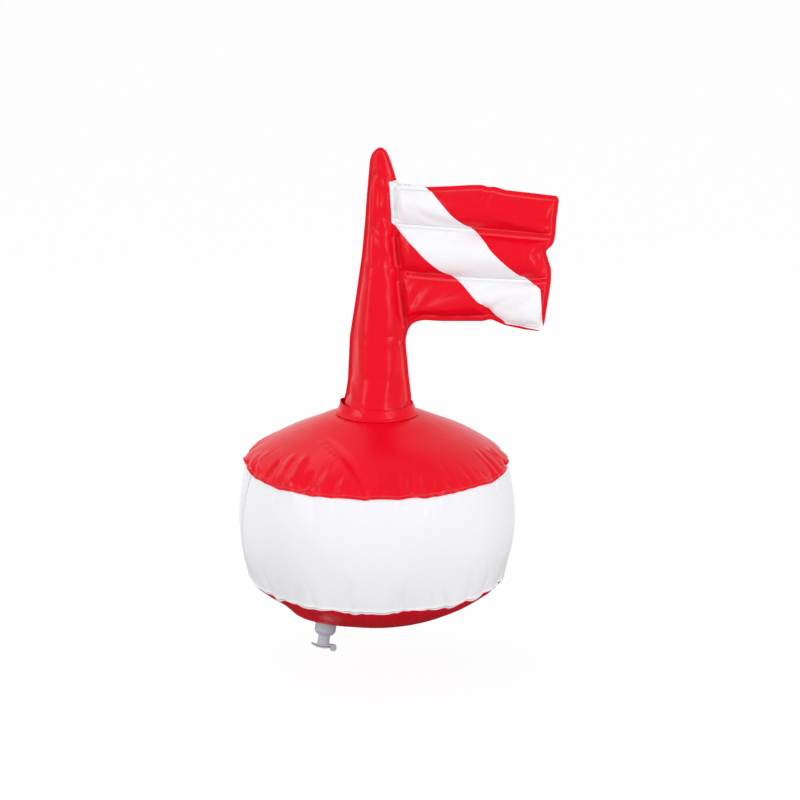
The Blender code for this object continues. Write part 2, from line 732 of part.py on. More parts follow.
def line_tab_top():
    """Height of the tab's upper face, just under the patch."""
    return bottom_height(0) - 2 * GAP - PATCH_THICKNESS


def tab_hinge():
    """Fold line of the tab, at its root under the patch."""
    return Vector((0, -LINE_TAB_ROOT, line_tab_top()))


def on_tab(piece):
    """Carry a piece on the tab's fold line, where it stands."""
    piece.parent = TAB_FRAME
    piece.location = piece.location - tab_hinge()
    return piece


def eyelet_point():
    """Middle of the eyelet, on the tab's upper face."""
    return Vector((0, LINE_TAB_REACH - LINE_TAB_WIDTH / 2, line_tab_top()))


def make_line_tab():
    """Doubled strip, round at its free end, with the hole for its eyelet."""
    half = LINE_TAB_WIDTH / 2
    centre = eyelet_point().y
    outline = [(half, -LINE_TAB_ROOT)]
    for step in range(ROUND_STEPS + 1):
        turn = math.pi * step / ROUND_STEPS
        outline.append((half * math.cos(turn), centre + half * math.sin(turn)))
    outline.append((-half, -LINE_TAB_ROOT))
    curve = bpy.data.curves.new("line_tab_outline", "CURVE")
    curve.dimensions = "2D"
    curve.fill_mode = "BOTH"
    curve.extrude = LINE_TAB_THICKNESS / 2
    spline = curve.splines.new("POLY")
    spline.points.add(len(outline) - 1)
    for point, (x, y) in zip(spline.points, outline):
        point.co = (x, y, 0, 1)
    spline.use_cyclic_u = True
    flat = bpy.data.objects.new("line_tab_outline", curve)
    CUTTERS.objects.link(flat)
    bpy.context.view_layer.update()
    mesh = bpy.data.meshes.new_from_object(flat.evaluated_get(bpy.context.evaluated_depsgraph_get()))
    bpy.data.objects.remove(flat, do_unlink=True)
    bm = bmesh.new()
    bm.from_mesh(mesh)
    bmesh.ops.remove_doubles(bm, verts=bm.verts[:], dist=MERGE)
    bmesh.ops.recalc_face_normals(bm, faces=bm.faces[:])
    middle = line_tab_top() - LINE_TAB_THICKNESS / 2
    bmesh.ops.translate(bm, verts=bm.verts[:], vec=(0, 0, middle))
    tab = add_piece("line_tab", bm, RED_FILM)
    hole = bmesh.new()
    bmesh.ops.create_cone(hole, cap_ends=True, segments=EYELET_SEGMENTS, radius1=eyelet_hole(),
                          radius2=eyelet_hole(), depth=2 * CUT_OVERRUN,
                          matrix=Matrix.Translation(eyelet_point()))
    combine(tab, add_cutter("eyelet_hole", hole), "DIFFERENCE")
    return on_tab(tab)


def eyelet_hole():
    """Radius of the hole in the tab, clear of the eyelet's barrel."""
    return EYELET_BORE + EYELET_WALL + GAP


def make_eyelet():
    """Nickel eyelet: a barrel through the tab with a flange under it."""
    top = line_tab_top()
    under = top - LINE_TAB_THICKNESS - GAP
    barrel = EYELET_BORE + EYELET_WALL
    low = under - EYELET_FLANGE
    high = top + GAP + EYELET_FLANGE
    outline = [(EYELET_BORE, low), (EYELET_FLANGE_RADIUS - EYELET_FLANGE / 2, low),
               (EYELET_FLANGE_RADIUS, under - EYELET_FLANGE / 2), (EYELET_FLANGE_RADIUS, under),
               (barrel, under), (barrel, high), (EYELET_BORE, high), (EYELET_BORE, low)]
    eyelet = turned_solid("line_eyelet", outline, NICKEL_METAL, EYELET_SEGMENTS)
    eyelet.location = Vector((0, eyelet_point().y, 0))
    return on_tab(eyelet)


def make_eyelet_washer():
    """Nickel washer that the barrel is rolled over, on the tab's upper face."""
    low = line_tab_top() + GAP
    inner = EYELET_BORE + EYELET_WALL + GAP
    outline = [(inner, low), (EYELET_FLANGE_RADIUS, low), (EYELET_FLANGE_RADIUS, low + EYELET_FLANGE / 2),
               (inner, low + EYELET_FLANGE), (inner, low)]
    washer = turned_solid("line_eyelet_washer", outline, NICKEL_METAL, EYELET_SEGMENTS)
    washer.location = Vector((0, eyelet_point().y, 0))
    return on_tab(washer)


clear_scene()
PARTS = make_collection("dive_flag_float")
CUTTERS = make_collection("cutters")
RED_FILM = make_material("red_film", RED, 0.28)
WHITE_FILM = make_material("white_film", WHITE, 0.32)
GREY_PLASTIC = make_material("grey_plastic", GREY, 0.45)
NICKEL_METAL = make_material("nickel", NICKEL, 0.3, 1.0)
CUTTER = make_material("cutter", GREY, 1.0)
VALVE_FRAME = bpy.data.objects.new("valve_frame", None)
VALVE_FRAME.matrix_world = valve_matrix()
PARTS.objects.link(VALVE_FRAME)
TAB_FRAME = bpy.data.objects.new("line_tab_frame", None)
TAB_FRAME.location = tab_hinge()
PARTS.objects.link(TAB_FRAME)

make_top_panel()
make_side_band()
make_bottom_panel()
make_cuff()
make_sheet("mast_flag_front_sheet", False)
make_sheet("mast_flag_back_sheet", True)
make_stripe("stripe_front", False)
make_stripe("stripe_back", True)
make_valve_base()
make_valve_stem()
make_valve_plug()
make_valve_flap()
make_line_patch()
make_line_tab()
make_eyelet()
make_eyelet_washer()
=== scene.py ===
# %% [markdown]
# # An inflatable dive flag float
#
# This file dresses a diver's marker float: a round float of glossy film, a soft mast with a
# three-chamber flag, a grey inflation valve and a line tab underneath. The solids of its
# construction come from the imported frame, at real size and in metres. +Z runs up the mast, the flag
# flies towards +X and -Y is the front.
#
# A thing blown up from flat film gets its look from that: a flat cut can't become a dome without
# puckers. So the film pieces here start as flat cuts and are inflated by a cloth simulation, and the
# creases come by themselves. The valve is moulded, so it is modelled with ordinary tools.

# %% Load the frame
import itertools
import math

import bpy
import numpy as np
from mathutils import Matrix, Vector, noise


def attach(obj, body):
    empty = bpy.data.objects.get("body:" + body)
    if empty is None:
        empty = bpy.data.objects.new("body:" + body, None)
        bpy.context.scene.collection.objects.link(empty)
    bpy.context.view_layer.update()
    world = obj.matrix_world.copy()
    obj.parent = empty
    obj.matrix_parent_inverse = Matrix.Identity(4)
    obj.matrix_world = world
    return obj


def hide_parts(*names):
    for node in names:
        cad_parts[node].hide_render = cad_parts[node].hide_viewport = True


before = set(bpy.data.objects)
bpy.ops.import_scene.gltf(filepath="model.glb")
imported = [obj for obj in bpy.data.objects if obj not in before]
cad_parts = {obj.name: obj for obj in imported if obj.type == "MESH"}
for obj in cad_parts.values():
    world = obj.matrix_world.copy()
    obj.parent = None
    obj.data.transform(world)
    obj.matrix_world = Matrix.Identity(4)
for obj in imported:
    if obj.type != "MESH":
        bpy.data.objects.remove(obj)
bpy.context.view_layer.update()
MM = 0.001
DEG = math.pi / 180
scene = bpy.context.scene

# %% [markdown]
# ## Small helpers
#
# An operator works on whatever is selected, and the loaded solids are all selected, so every step
# begins with nothing selected. Finished pieces keep their place in their mesh, with the object at the
# origin, because a pattern on Object coordinates would slide otherwise.

# %% Selecting and applying
def only(piece):
    """Leave one object selected and active."""
    for item in bpy.context.selected_objects:
        item.select_set(False)
    piece.select_set(True)
    bpy.context.view_layer.objects.active = piece
    return piece


def settle(piece):
    """Move the object's place, turn and scale into its mesh."""
    only(piece)
    bpy.ops.object.transform_apply(location=True, rotation=True, scale=True)
    return piece


def apply_all(piece):
    """Apply every modifier of a piece, first to last."""
    only(piece)
    for modifier in list(piece.modifiers):
        bpy.ops.object.modifier_apply(modifier=modifier.name)
    return piece


def pick(piece, kind, indices):
    """Select these points, edges or faces and nothing else, ready for an edit."""
    bpy.ops.object.mode_set(mode="EDIT")
    bpy.ops.mesh.select_mode(type=kind)
    bpy.ops.mesh.select_all(action="DESELECT")
    bpy.ops.object.mode_set(mode="OBJECT")
    mesh = piece.data
    items = {"VERT": mesh.vertices, "EDGE": mesh.edges, "FACE": mesh.polygons}[kind]
    for index in indices:
        items[index].select = True
    bpy.ops.object.mode_set(mode="EDIT")


def on_all(piece, operator, **options):
    """Run a mesh operator on the whole of a piece."""
    only(piece)
    bpy.ops.object.mode_set(mode="EDIT")
    bpy.ops.mesh.select_all(action="SELECT")
    operator(**options)
    bpy.ops.object.mode_set(mode="OBJECT")


def long_edges(piece, axis, least):
    """The edges of a piece that run along an axis for more than a length."""
    points = piece.data.vertices
    return [edge.index for edge in piece.data.edges
            if abs(points[edge.vertices[0]].co[axis] - points[edge.vertices[1]].co[axis]) > least]


def divide(piece, edges, cuts):
    """Cut edges into even lengths."""
    pick(piece, "EDGE", edges)
    bpy.ops.mesh.subdivide(number_cuts=cuts)
    bpy.ops.object.mode_set(mode="OBJECT")

# %% Reading and writing points
def rows_of(items, field):
    """A vector of every item as an array with a row for each."""
    flat = np.empty(len(items) * 3)
    items.foreach_get(field, flat)
    return flat.reshape(-1, 3)


def places(mesh):
    """The points of a mesh."""
    return rows_of(mesh.vertices, "co")


def point_normals(mesh):
    """The normals of a mesh's points."""
    return rows_of(mesh.vertices, "normal")


def read_attribute(mesh, name):
    """A vector attribute of a mesh's points."""
    return rows_of(mesh.attributes[name].data, "vector")


def write_attribute(mesh, name, kind, values):
    """Keep a value or a vector for each point of a mesh."""
    field = "vector" if kind == "FLOAT_VECTOR" else "value"
    mesh.attributes.new(name, kind, "POINT").data.foreach_set(field, values)


def put_places(mesh, array):
    """Write an array of points back to a mesh."""
    mesh.vertices.foreach_set("co", np.ascontiguousarray(array).ravel())
    mesh.update()

# %% Walls and coats
def round_off(piece):
    """Subdivide a film once, which rounds its puckers."""
    rounded = piece.modifiers.new("rounded", "SUBSURF")
    rounded.levels = rounded.render_levels = 1
    return apply_all(piece)


def thicken(piece, thickness, towards):
    """Give an open film its wall: -1 puts it behind the surface, 1 in front."""
    wall = piece.modifiers.new("film", "SOLIDIFY")
    wall.thickness = thickness
    wall.offset = towards
    return apply_all(piece)


def coat(piece, material):
    """Give a piece its one material."""
    piece.data.materials.clear()
    piece.data.materials.append(material)
    return piece

# %% Building blocks of a finish
def feed(tree, node, inputs):
    """Give each input of a node its number or colour, or link the socket that feeds it."""
    for name, value in inputs.items():
        if isinstance(value, bpy.types.NodeSocket):
            tree.links.new(value, node.inputs[name])
        else:
            node.inputs[name].default_value = value
    return node


def add_node(tree, kind, inputs=None, **settings):
    """A shader node with its settings and what its inputs are fed."""
    node = tree.nodes.new("ShaderNode" + kind)
    for name, value in settings.items():
        setattr(node, name, value)
    return feed(tree, node, inputs or {})


def noise_at(tree, place, scale, detail, roughness=0.5, stretch=(1, 1, 1)):
    """A noise at a place, with its scale in cycles to the metre."""
    mapped = add_node(tree, "Mapping", {"Vector": place, "Scale": stretch}).outputs["Vector"]
    return add_node(tree, "TexNoise", {"Vector": mapped, "Scale": scale, "Detail": detail,
                                       "Roughness": roughness}).outputs["Fac"]


def spread(tree, value, start, end, low, high, curve="LINEAR"):
    """Map a value from one range to another, clamped."""
    return add_node(tree, "MapRange", {"Value": value, "From Min": start, "From Max": end, "To Min": low,
                                       "To Max": high}, interpolation_type=curve).outputs["Result"]


def worked_out(tree, operation, first, second=0.0):
    """A sum on two sockets or numbers."""
    return add_node(tree, "Math", {0: first, 1: second}, operation=operation).outputs[0]


def mixed_colour(tree, factor, first, second):
    """A mix of two colours or sockets by a mask."""
    mix = add_node(tree, "Mix", {"Factor": factor, "A": first, "B": second}, data_type="RGBA")
    return mix.outputs["Result"]


def mixed_shader(tree, factor, first, second):
    """A mix of two shaders by a mask."""
    return add_node(tree, "MixShader", {"Fac": factor, 1: first, 2: second}).outputs[0]


def bumped(tree, height, distance, strength, below=None):
    """A bump over another normal, with its distance in metres."""
    inputs = {"Height": height, "Distance": distance, "Strength": strength}
    if below is not None:
        inputs["Normal"] = below
    return add_node(tree, "Bump", inputs).outputs["Normal"]


def new_group(name, inputs, outputs):
    """A node group with number inputs, and outputs that are numbers or a Normal."""
    group = bpy.data.node_groups.new(name, "ShaderNodeTree")
    for label, value in inputs:
        socket = group.interface.new_socket(name=label, in_out="INPUT", socket_type="NodeSocketFloat")
        socket.default_value = value
    for label in outputs:
        kind = "NodeSocketVector" if label == "Normal" else "NodeSocketFloat"
        group.interface.new_socket(name=label, in_out="OUTPUT", socket_type=kind)
    return group, group.nodes.new("NodeGroupInput").outputs, group.nodes.new("NodeGroupOutput")


def new_material(name):
    """A material, its node tree and its Principled shader."""
    material = bpy.data.materials.new(name)
    material.use_nodes = True
    return material, material.node_tree, material.node_tree.nodes["Principled BSDF"]

# %% [markdown]
# ## The finishes
#
# All the film is soft PVC. Its gloss is broad and soft, with a fine orange peel from the roller that
# pressed it and faint rubs from packing. That surface is one node group, placed in the red and in the
# white film with other values. The group puts out only a mask, a roughness and a normal, and the
# shader stays in each material, where its Fresnel and gloss can be read by an export.

# %% The surface of rolled film
def film_surface_group():
    """A node group: mottle mask, roughness and normal of soft rolled film."""
    group, inlet, outlet = new_group("film_surface", (("Roughness", 0.3), ("Peel", 0.1), ("Slack", 0.3),
                                                      ("Rubs", 0.1)), ("Mottle", "Roughness", "Normal"))
    place = add_node(group, "TexCoord").outputs["Object"]
    mottle = noise_at(group, place, 14, 3)
    rubs = spread(group, noise_at(group, place, 55, 6, 0.7, (1, 1, 0.35)), 0.56, 0.72, 0, 1)
    uneven = worked_out(group, "MULTIPLY", spread(group, mottle, 0.3, 0.7, -0.5, 0.5), inlet["Rubs"])
    rubbed = worked_out(group, "MULTIPLY", rubs, inlet["Rubs"])
    rough = worked_out(group, "ADD", inlet["Roughness"], worked_out(group, "ADD", uneven, rubbed))
    slack = bumped(group, noise_at(group, place, 38, 2, 0.4), 0.004, inlet["Slack"])
    peel = bumped(group, noise_at(group, place, 900, 2), 0.0004, inlet["Peel"], slack)
    feed(group, outlet, {"Mottle": mottle, "Roughness": rough, "Normal": peel})
    return group


FILM_SURFACE = film_surface_group()

# %% [markdown]
# The red film's colour runs a little between two reds. The white film has a cool cast, and where its
# edge lies over red film the red shines through the weld, so an attribute painted along that edge
# tints it pink. Where a weld bar pressed the film, each edge of the weld stands up as a thin ridge,
# whose colour is mixed towards a painted highlight on the red film and a painted grey shade on the
# white. The weld attribute holds the distance from that edge in millimetres, less WELD_FAR, so that a
# film without the attribute counts as far from any weld.

# %% Film materials
WELD_RIDGE = 1.0
WELD_RISE = 0.0006
WELD_FAR = 10.0
RIDGE_SHADING_SHARE = 0.3


def film_material(name, low, high, roughness, specular, peel, slack, rubs, painted_ridge_shading, edge_colour=None):
    """Soft glossy film: two tones and a broad gloss, raised along the edges of its welds and tinted there
    towards painted ridge light.
    """
    material, tree, shader = new_material(name)
    surface = add_node(tree, "Group", {"Roughness": roughness, "Peel": peel, "Slack": slack, "Rubs": rubs},
                       node_tree=FILM_SURFACE).outputs
    weld = add_node(tree, "Attribute", attribute_name="weld").outputs["Fac"]
    away = worked_out(tree, "ABSOLUTE", worked_out(tree, "ADD", weld, WELD_FAR))
    ridge = spread(tree, away, 0.0, WELD_RIDGE, 1.0, 0.0, "SMOOTHSTEP")
    colour = mixed_colour(tree, surface["Mottle"], low, high)
    # Painted light: the weld ridges are mixed towards a given colour, a painted highlight on the red film and
    # a painted grey shade on the white.
    colour = mixed_colour(tree, worked_out(tree, "MULTIPLY", ridge, RIDGE_SHADING_SHARE), colour, painted_ridge_shading)
    if edge_colour:
        edge = add_node(tree, "Attribute", attribute_name="edge").outputs["Fac"]
        colour = mixed_colour(tree, edge, colour, edge_colour)
    feed(tree, shader, {"Base Color": colour, "Roughness": surface["Roughness"],
                        "Specular IOR Level": specular,
                        "Normal": bumped(tree, ridge, WELD_RISE, 1.0, surface["Normal"])})
    return material


# The third colour of each film is its painted ridge shading: a pale red highlight on the red film and a grey
# shade on the white film.
RED_FILM = film_material("red_film", (0.75, 0.0014, 0.012, 1), (0.84, 0.003, 0.018, 1), 0.29, 0.13,
                         0.12, 0.10, 0.06, (0.95, 0.17, 0.19, 1))
WHITE_FILM = film_material("white_film", (0.855, 0.855, 0.89, 1), (0.885, 0.885, 0.915, 1), 0.34, 0.20,
                           0.10, 0.10, 0.06, (0.70, 0.70, 0.74, 1), (0.86, 0.22, 0.26, 1))
print("film finishes made")

# %% [markdown]
# ## The float's body
#
# The body is three cuts: two discs and a strip. Laid together flat they make a drum with flat ends,
# so the drum is the cut, and blowing it up gives the real shape: the ends dome, the seams draw in and
# pucker, and the strip bulges. The drum is modelled first, as a cylinder without ends whose rims are
# extruded inwards to make the discs. Its rings are about 4.5 mm apart, fine enough for a pucker.

# %% Sizes of the flat cut and of the measured, blown-up body
SEGMENTS = 300
DISC_RADIUS = 153.5 * MM
STRIP_HEIGHT = 136.0 * MM
RING_STEP = 4.5 * MM
AIR_HOLE_RADIUS = 12.0 * MM
BODY_RADIUS = 150.0 * MM
SEAM_STEP = 0.8 * MM
TOP_SEAM_RADIUS = 142.5 * MM
BOTTOM_SEAM_RADIUS = 138.5 * MM
BAND_HEIGHT = 132.0 * MM
LOW_SEAM = 4.5 * MM
TOP_RISE = 46.0 * MM
BOTTOM_DEPTH = 50.0 * MM
CUFF_FOOT_RADIUS = 42.5 * MM
FOOT_RISE = 8.0 * MM
FOOT_RISE_REACH = 26.0 * MM
VALVE_POINT = Vector((-38.253, -59.814, -36.907)) * MM
VALVE_OUT = Vector((-0.098183, -0.153525, -0.983255))
VALVE_TO_LOOP = Vector((0.946664, 0.29029, -0.139855))
VALVE_SEAT_RADIUS = 26.0 * MM
VALVE_BLEND_RADIUS = 48.0 * MM

# %% Heights of the measured body
def top_height(radius):
    """The measured dome on top, lifted a little round the mast's foot."""
    dome = TOP_RISE * (1 - (radius / TOP_SEAM_RADIUS) ** 3)
    reach = max(radius - CUFF_FOOT_RADIUS, 0) / FOOT_RISE_REACH
    return BAND_HEIGHT + dome + FOOT_RISE * math.exp(-reach * reach)


def bottom_height(radius):
    """The measured dome underneath."""
    return -BOTTOM_DEPTH * (1 - (radius / (BOTTOM_SEAM_RADIUS - SEAM_STEP)) ** 2)


def band_radius(height):
    """The measured bulge of the strip between its seams."""
    share = height / BAND_HEIGHT
    top = TOP_SEAM_RADIUS - SEAM_STEP
    straight = BOTTOM_SEAM_RADIUS + (top - BOTTOM_SEAM_RADIUS) * share
    middle = (BOTTOM_SEAM_RADIUS + top) / 2
    return straight + (BODY_RADIUS - middle) * math.sin(math.pi * share)


def seated_height(x, y, height):
    """The bottom made flat round the valve, as its welded flange holds it."""
    away = math.hypot(x - VALVE_POINT.x, y - VALVE_POINT.y)
    share = min(max((away - VALVE_SEAT_RADIUS) / (VALVE_BLEND_RADIUS - VALVE_SEAT_RADIUS), 0), 1)
    weight = 1 - share * share * (3 - 2 * share)
    slope = VALVE_OUT.x * (x - VALVE_POINT.x) + VALVE_OUT.y * (y - VALVE_POINT.y)
    return height + weight * (VALVE_POINT.z - slope / VALVE_OUT.z - height)

# %% Model the drum of flat cuts
NEARLY = 0.1 * MM


def ring_edges(mesh, radius, height):
    """The edges of one ring of a drum, found by their place."""
    return edges_between(mesh, height, radius, radius)


def edges_between(mesh, height, outer, inner):
    """The edges of a flat end that run from one ring to another, or along one."""
    found = []
    for edge in mesh.edges:
        ends = [mesh.vertices[i].co for i in edge.vertices]
        radii = sorted(math.hypot(p.x, p.y) for p in ends)
        flat = all(abs(p.z - height) < NEARLY for p in ends)
        if flat and abs(radii[0] - inner) < NEARLY and abs(radii[1] - outer) < NEARLY:
            found.append(edge.index)
    return found


def extrude_disc(piece, height, stops):
    """Extrude a rim inwards to each stop in turn, and cut each stretch into rings."""
    outer = DISC_RADIUS
    for inner in stops:
        pick(piece, "EDGE", ring_edges(piece.data, outer, height))
        bpy.ops.mesh.extrude_edges_move()
        share = inner / outer
        bpy.ops.transform.resize(value=(share, share, 1), center_override=(0, 0, height))
        bpy.ops.object.mode_set(mode="OBJECT")
        cuts = round((outer - inner) / RING_STEP) - 1
        if cuts > 0:
            divide(piece, edges_between(piece.data, height, outer, inner), cuts)
        outer = inner


def model_drum():
    """The three flat cuts as one drum."""
    bpy.ops.mesh.primitive_cylinder_add(vertices=SEGMENTS, radius=DISC_RADIUS, depth=STRIP_HEIGHT,
                                        end_fill_type="NOTHING", location=(0, 0, STRIP_HEIGHT / 2))
    drum = settle(bpy.context.object)
    drum.name = "body_cut"
    divide(drum, long_edges(drum, 2, MM), round(STRIP_HEIGHT / RING_STEP) - 1)
    extrude_disc(drum, STRIP_HEIGHT, (CUFF_FOOT_RADIUS, AIR_HOLE_RADIUS))
    extrude_disc(drum, 0.0, (RING_STEP,))
    pick(drum, "EDGE", ring_edges(drum.data, RING_STEP, 0.0))
    bpy.ops.mesh.extrude_edges_move()
    bpy.ops.mesh.merge(type="CENTER")
    bpy.ops.object.mode_set(mode="OBJECT")
    on_all(drum, bpy.ops.mesh.normals_make_consistent, inside=False)
    return drum


drum = model_drum()
print("drum", len(drum.data.vertices), "points")

# %% [markdown]
# The measured body from the frame says where each ring should end up: a ring keeps its share of the
# way along the film from the middle to the seam. Each point's flat place and settled place are both
# kept. The flat one is the cloth's rest length, and the settled one holds what is welded to a stiff
# piece, such as the ring under the mast's cuff, the seat of the valve and the doubler in the middle.

# %% Where each ring of the cut settles
def arc_table(height, limit):
    """Distances along a measured profile, as (arc, radius) arrays."""
    radii = np.linspace(0, limit, 400)
    heights = np.array([height(radius) for radius in radii])
    steps = np.hypot(np.diff(radii), np.diff(heights))
    return np.concatenate([[0], np.cumsum(steps)]), radii


def bottom_line(radius):
    """The bottom's profile: a dome whose last few millimetres turn up to the seam."""
    if radius <= RIM_TURN_RADIUS:
        return bottom_height(radius)
    start = bottom_height(RIM_TURN_RADIUS)
    share = (radius - RIM_TURN_RADIUS) / (band_radius(LOW_SEAM) - RIM_TURN_RADIUS)
    return start + (LOW_SEAM - start) * share ** 1.6


RIM_TURN_RADIUS = 135.5 * MM
TOP_ARC = arc_table(top_height, TOP_SEAM_RADIUS)
BOTTOM_ARC = arc_table(bottom_line, band_radius(LOW_SEAM))


def part_of_cut(point):
    """Which cut a flat point is on."""
    radius = math.hypot(point[0], point[1])
    if radius > DISC_RADIUS - NEARLY:
        return "band"
    return "top" if point[2] > STRIP_HEIGHT / 2 else "bottom"


def settled_place(point):
    """Where a point of the flat cut lies on the measured body."""
    x, y, z = point
    radius = math.hypot(x, y)
    part = part_of_cut(point)
    if part == "band":
        height = LOW_SEAM + z / STRIP_HEIGHT * (BAND_HEIGHT - LOW_SEAM)
        settled = band_radius(height)
    elif part == "top":
        if radius <= CUFF_FOOT_RADIUS:
            settled = radius
        else:
            first = np.interp(CUFF_FOOT_RADIUS, TOP_ARC[1], TOP_ARC[0])
            share = (radius - CUFF_FOOT_RADIUS) / (DISC_RADIUS - CUFF_FOOT_RADIUS)
            settled = np.interp(first + (TOP_ARC[0][-1] - first) * share, *TOP_ARC)
        height = top_height(settled)
    else:
        settled = np.interp(BOTTOM_ARC[0][-1] * radius / DISC_RADIUS, *BOTTOM_ARC)
        height = bottom_line(settled)
    scale = settled / radius if radius else 0
    if part == "bottom":
        height = seated_height(x * scale, y * scale, height)
    return (x * scale, y * scale, height)


FLAT = places(drum.data)
SETTLED = np.array([settled_place(point) for point in FLAT])
CUT_PARTS = np.array([part_of_cut(point) for point in FLAT])
print("widest ring settles at", round(float(np.hypot(SETTLED[:, 0], SETTLED[:, 1]).max()), 4))

# %% [markdown]
# ## Inflating a cut
#
# Blender's Cloth does the blowing up: air pressure on every face, no gravity, and stiff springs, since
# film hardly stretches. Pinned points slide from the flat cut to their settled place over the first
# frames, by a keyed shape key, and the rest of the film follows and buckles. A little smooth noise
# first tells the puckers where to start, the same on every run. The result is taken as a new mesh, so
# no simulation is left on the piece.

# %% The inflating helper
AIR_PRESSURE = 60.0
POINT_MASS = 0.0004


def inflate(piece, settled, pinned, frames, lift, bending, pressure=AIR_PRESSURE):
    """Blow a flat cut up and return the mesh's new places."""
    flat = places(piece.data)
    piece.shape_key_add(name="flat", from_mix=False)
    moved = piece.shape_key_add(name="settled", from_mix=False)
    moved.data.foreach_set("co", np.ascontiguousarray(settled, dtype=np.float32).ravel())
    group = piece.vertex_groups.new(name="pinned")
    group.add([int(index) for index in np.nonzero(pinned)[0]], 1.0, "REPLACE")
    cloth = piece.modifiers.new("air", "CLOTH")
    film = cloth.settings
    film.quality = 4
    film.mass = POINT_MASS
    film.tension_stiffness = 20
    film.compression_stiffness = 20
    film.shear_stiffness = 5
    film.bending_stiffness = bending
    film.use_pressure = True
    film.uniform_pressure_force = pressure
    film.effector_weights.gravity = 0
    film.vertex_group_mass = group.name
    cloth.collision_settings.use_collision = False
    cloth.collision_settings.use_self_collision = False
    cloth.point_cache.frame_start = 1
    cloth.point_cache.frame_end = frames
    moved.value = 0.0
    moved.keyframe_insert("value", frame=1)
    moved.value = 1.0
    moved.keyframe_insert("value", frame=lift)
    for step in range(1, frames + 1):
        scene.frame_set(step)
    blown = bpy.data.meshes.new_from_object(piece.evaluated_get(bpy.context.evaluated_depsgraph_get()))
    result = places(blown)
    bpy.data.meshes.remove(blown)
    piece.modifiers.remove(cloth)
    piece.shape_key_clear()
    scene.frame_set(1)
    print(piece.name, "moved by", round(float(np.linalg.norm(result - flat, axis=1).max()), 4), "m at most")
    return result

# %% Blow up the body
PUCKER_SEED = Vector((3.1, 1.7, 9.2))


def wave(angle, seed, frequency=3.0):
    """A smooth unevenness round the body, from -1 to 1."""
    return noise.noise(Vector((math.cos(angle) * frequency, math.sin(angle) * frequency, seed))) * 1.6


def seeded(flat, normals, frequency, depth):
    """Flat places with a smooth unevenness across them, to start the puckers."""
    lift = np.array([noise.noise(Vector(point) * frequency + PUCKER_SEED) for point in flat])
    return flat + normals * (lift * depth)[:, None]


def turned_by(angle, bearing):
    """How far an angle lies from a bearing in degrees, from -180 to 180."""
    return (angle / DEG - bearing + 180) % 360 - 180


def ring_keys():
    """A name for each ring of the cut: its part and its rounded radius or height."""
    keys = []
    for part, point in zip(CUT_PARTS, FLAT):
        size = point[2] if part == "band" else math.hypot(point[0], point[1])
        keys.append((str(part), round(float(size) / MM, 1)))
    return keys


def keep_measured_profile(blown):
    """Take each ring's mean shift away, so that only the puckers are left on the measured body."""
    radii = np.hypot(SETTLED[:, 0], SETTLED[:, 1])
    outward = SETTLED[:, :2] / np.maximum(radii, 1e-9)[:, None]
    shift = blown - SETTLED
    along = (shift[:, :2] * outward).sum(axis=1)
    rings = {}
    for index, key in enumerate(RING_KEYS):
        rings.setdefault(key, []).append(index)
    for members in rings.values():
        if len(members) == SEGMENTS:
            blown[members, :2] -= outward[members] * along[members].mean()
            blown[members, 2] -= shift[members, 2].mean()
    return SETTLED + calm(blown - SETTLED, radii)


def front_share(angle):
    """How much a bearing is on the side with measured folds, from 0 to 1."""
    return min(max((FRONT_REACH - abs(turned_by(angle, FRONT_BEARING))) / FRONT_FADE, 0), 1)


FRONT_BEARING, FRONT_REACH, FRONT_FADE = -62, 112, 22
FRONT_CALM = 0.65


def calm(shift, radii):
    """Keep a share of each pucker: most at the seams, least in the middle of a panel, none too deep."""
    depth = np.linalg.norm(shift, axis=1)
    limit = PUCKER_LIMIT * np.tanh(depth / PUCKER_LIMIT) / np.maximum(depth, 1e-9)
    kept = np.empty(len(shift))
    for index, (part, radius, place) in enumerate(zip(CUT_PARTS, radii, SETTLED)):
        if part == "band":
            kept[index] = np.interp(place[2] / BAND_HEIGHT, *BAND_PUCKERS)
        elif part == "top":
            calmed = 1 - FRONT_CALM * front_share(math.atan2(place[1], place[0]))
            kept[index] = np.interp(radius, *TOP_PUCKERS) * calmed
        else:
            kept[index] = np.interp(radius, *BOTTOM_PUCKERS)
    return shift * (limit * kept)[:, None] + gathers() + measured_folds()


def gathers():
    """Fine gathers that die out a little way in from each seam, in uneven bunches."""
    added = np.zeros((len(FLAT), 3))
    for index, (part, flat) in enumerate(zip(CUT_PARTS, FLAT)):
        angle = math.atan2(flat[1], flat[0])
        upper = bool(flat[2] > STRIP_HEIGHT / 2)
        if part == "band":
            away = STRIP_HEIGHT - flat[2] if upper else flat[2]
        else:
            away = DISC_RADIUS - math.hypot(flat[0], flat[1])
        reach, deep, rising = GATHERS[part, upper]
        reach *= MM
        if away > 4 * reach:
            continue
        seed = GATHER_SEEDS[upper]
        bunch = 0.35 + 0.65 * min(max(wave(angle, seed + 3.3, 2.2) + 0.5, 0), 1)
        fine = noise.noise(Vector((math.cos(angle) * 11, math.sin(angle) * 11, seed + away * 6)))
        fold = (1 - 2.6 * abs(fine)) * 0.8
        rise = min(away / (3.5 * MM), 1) * 0.7 + 0.3
        out = Vector((math.cos(angle), math.sin(angle), rising))
        added[index] = out.normalized() * (deep * MM * bunch * fold * rise * math.exp(-(away / reach) ** 2))
    return added


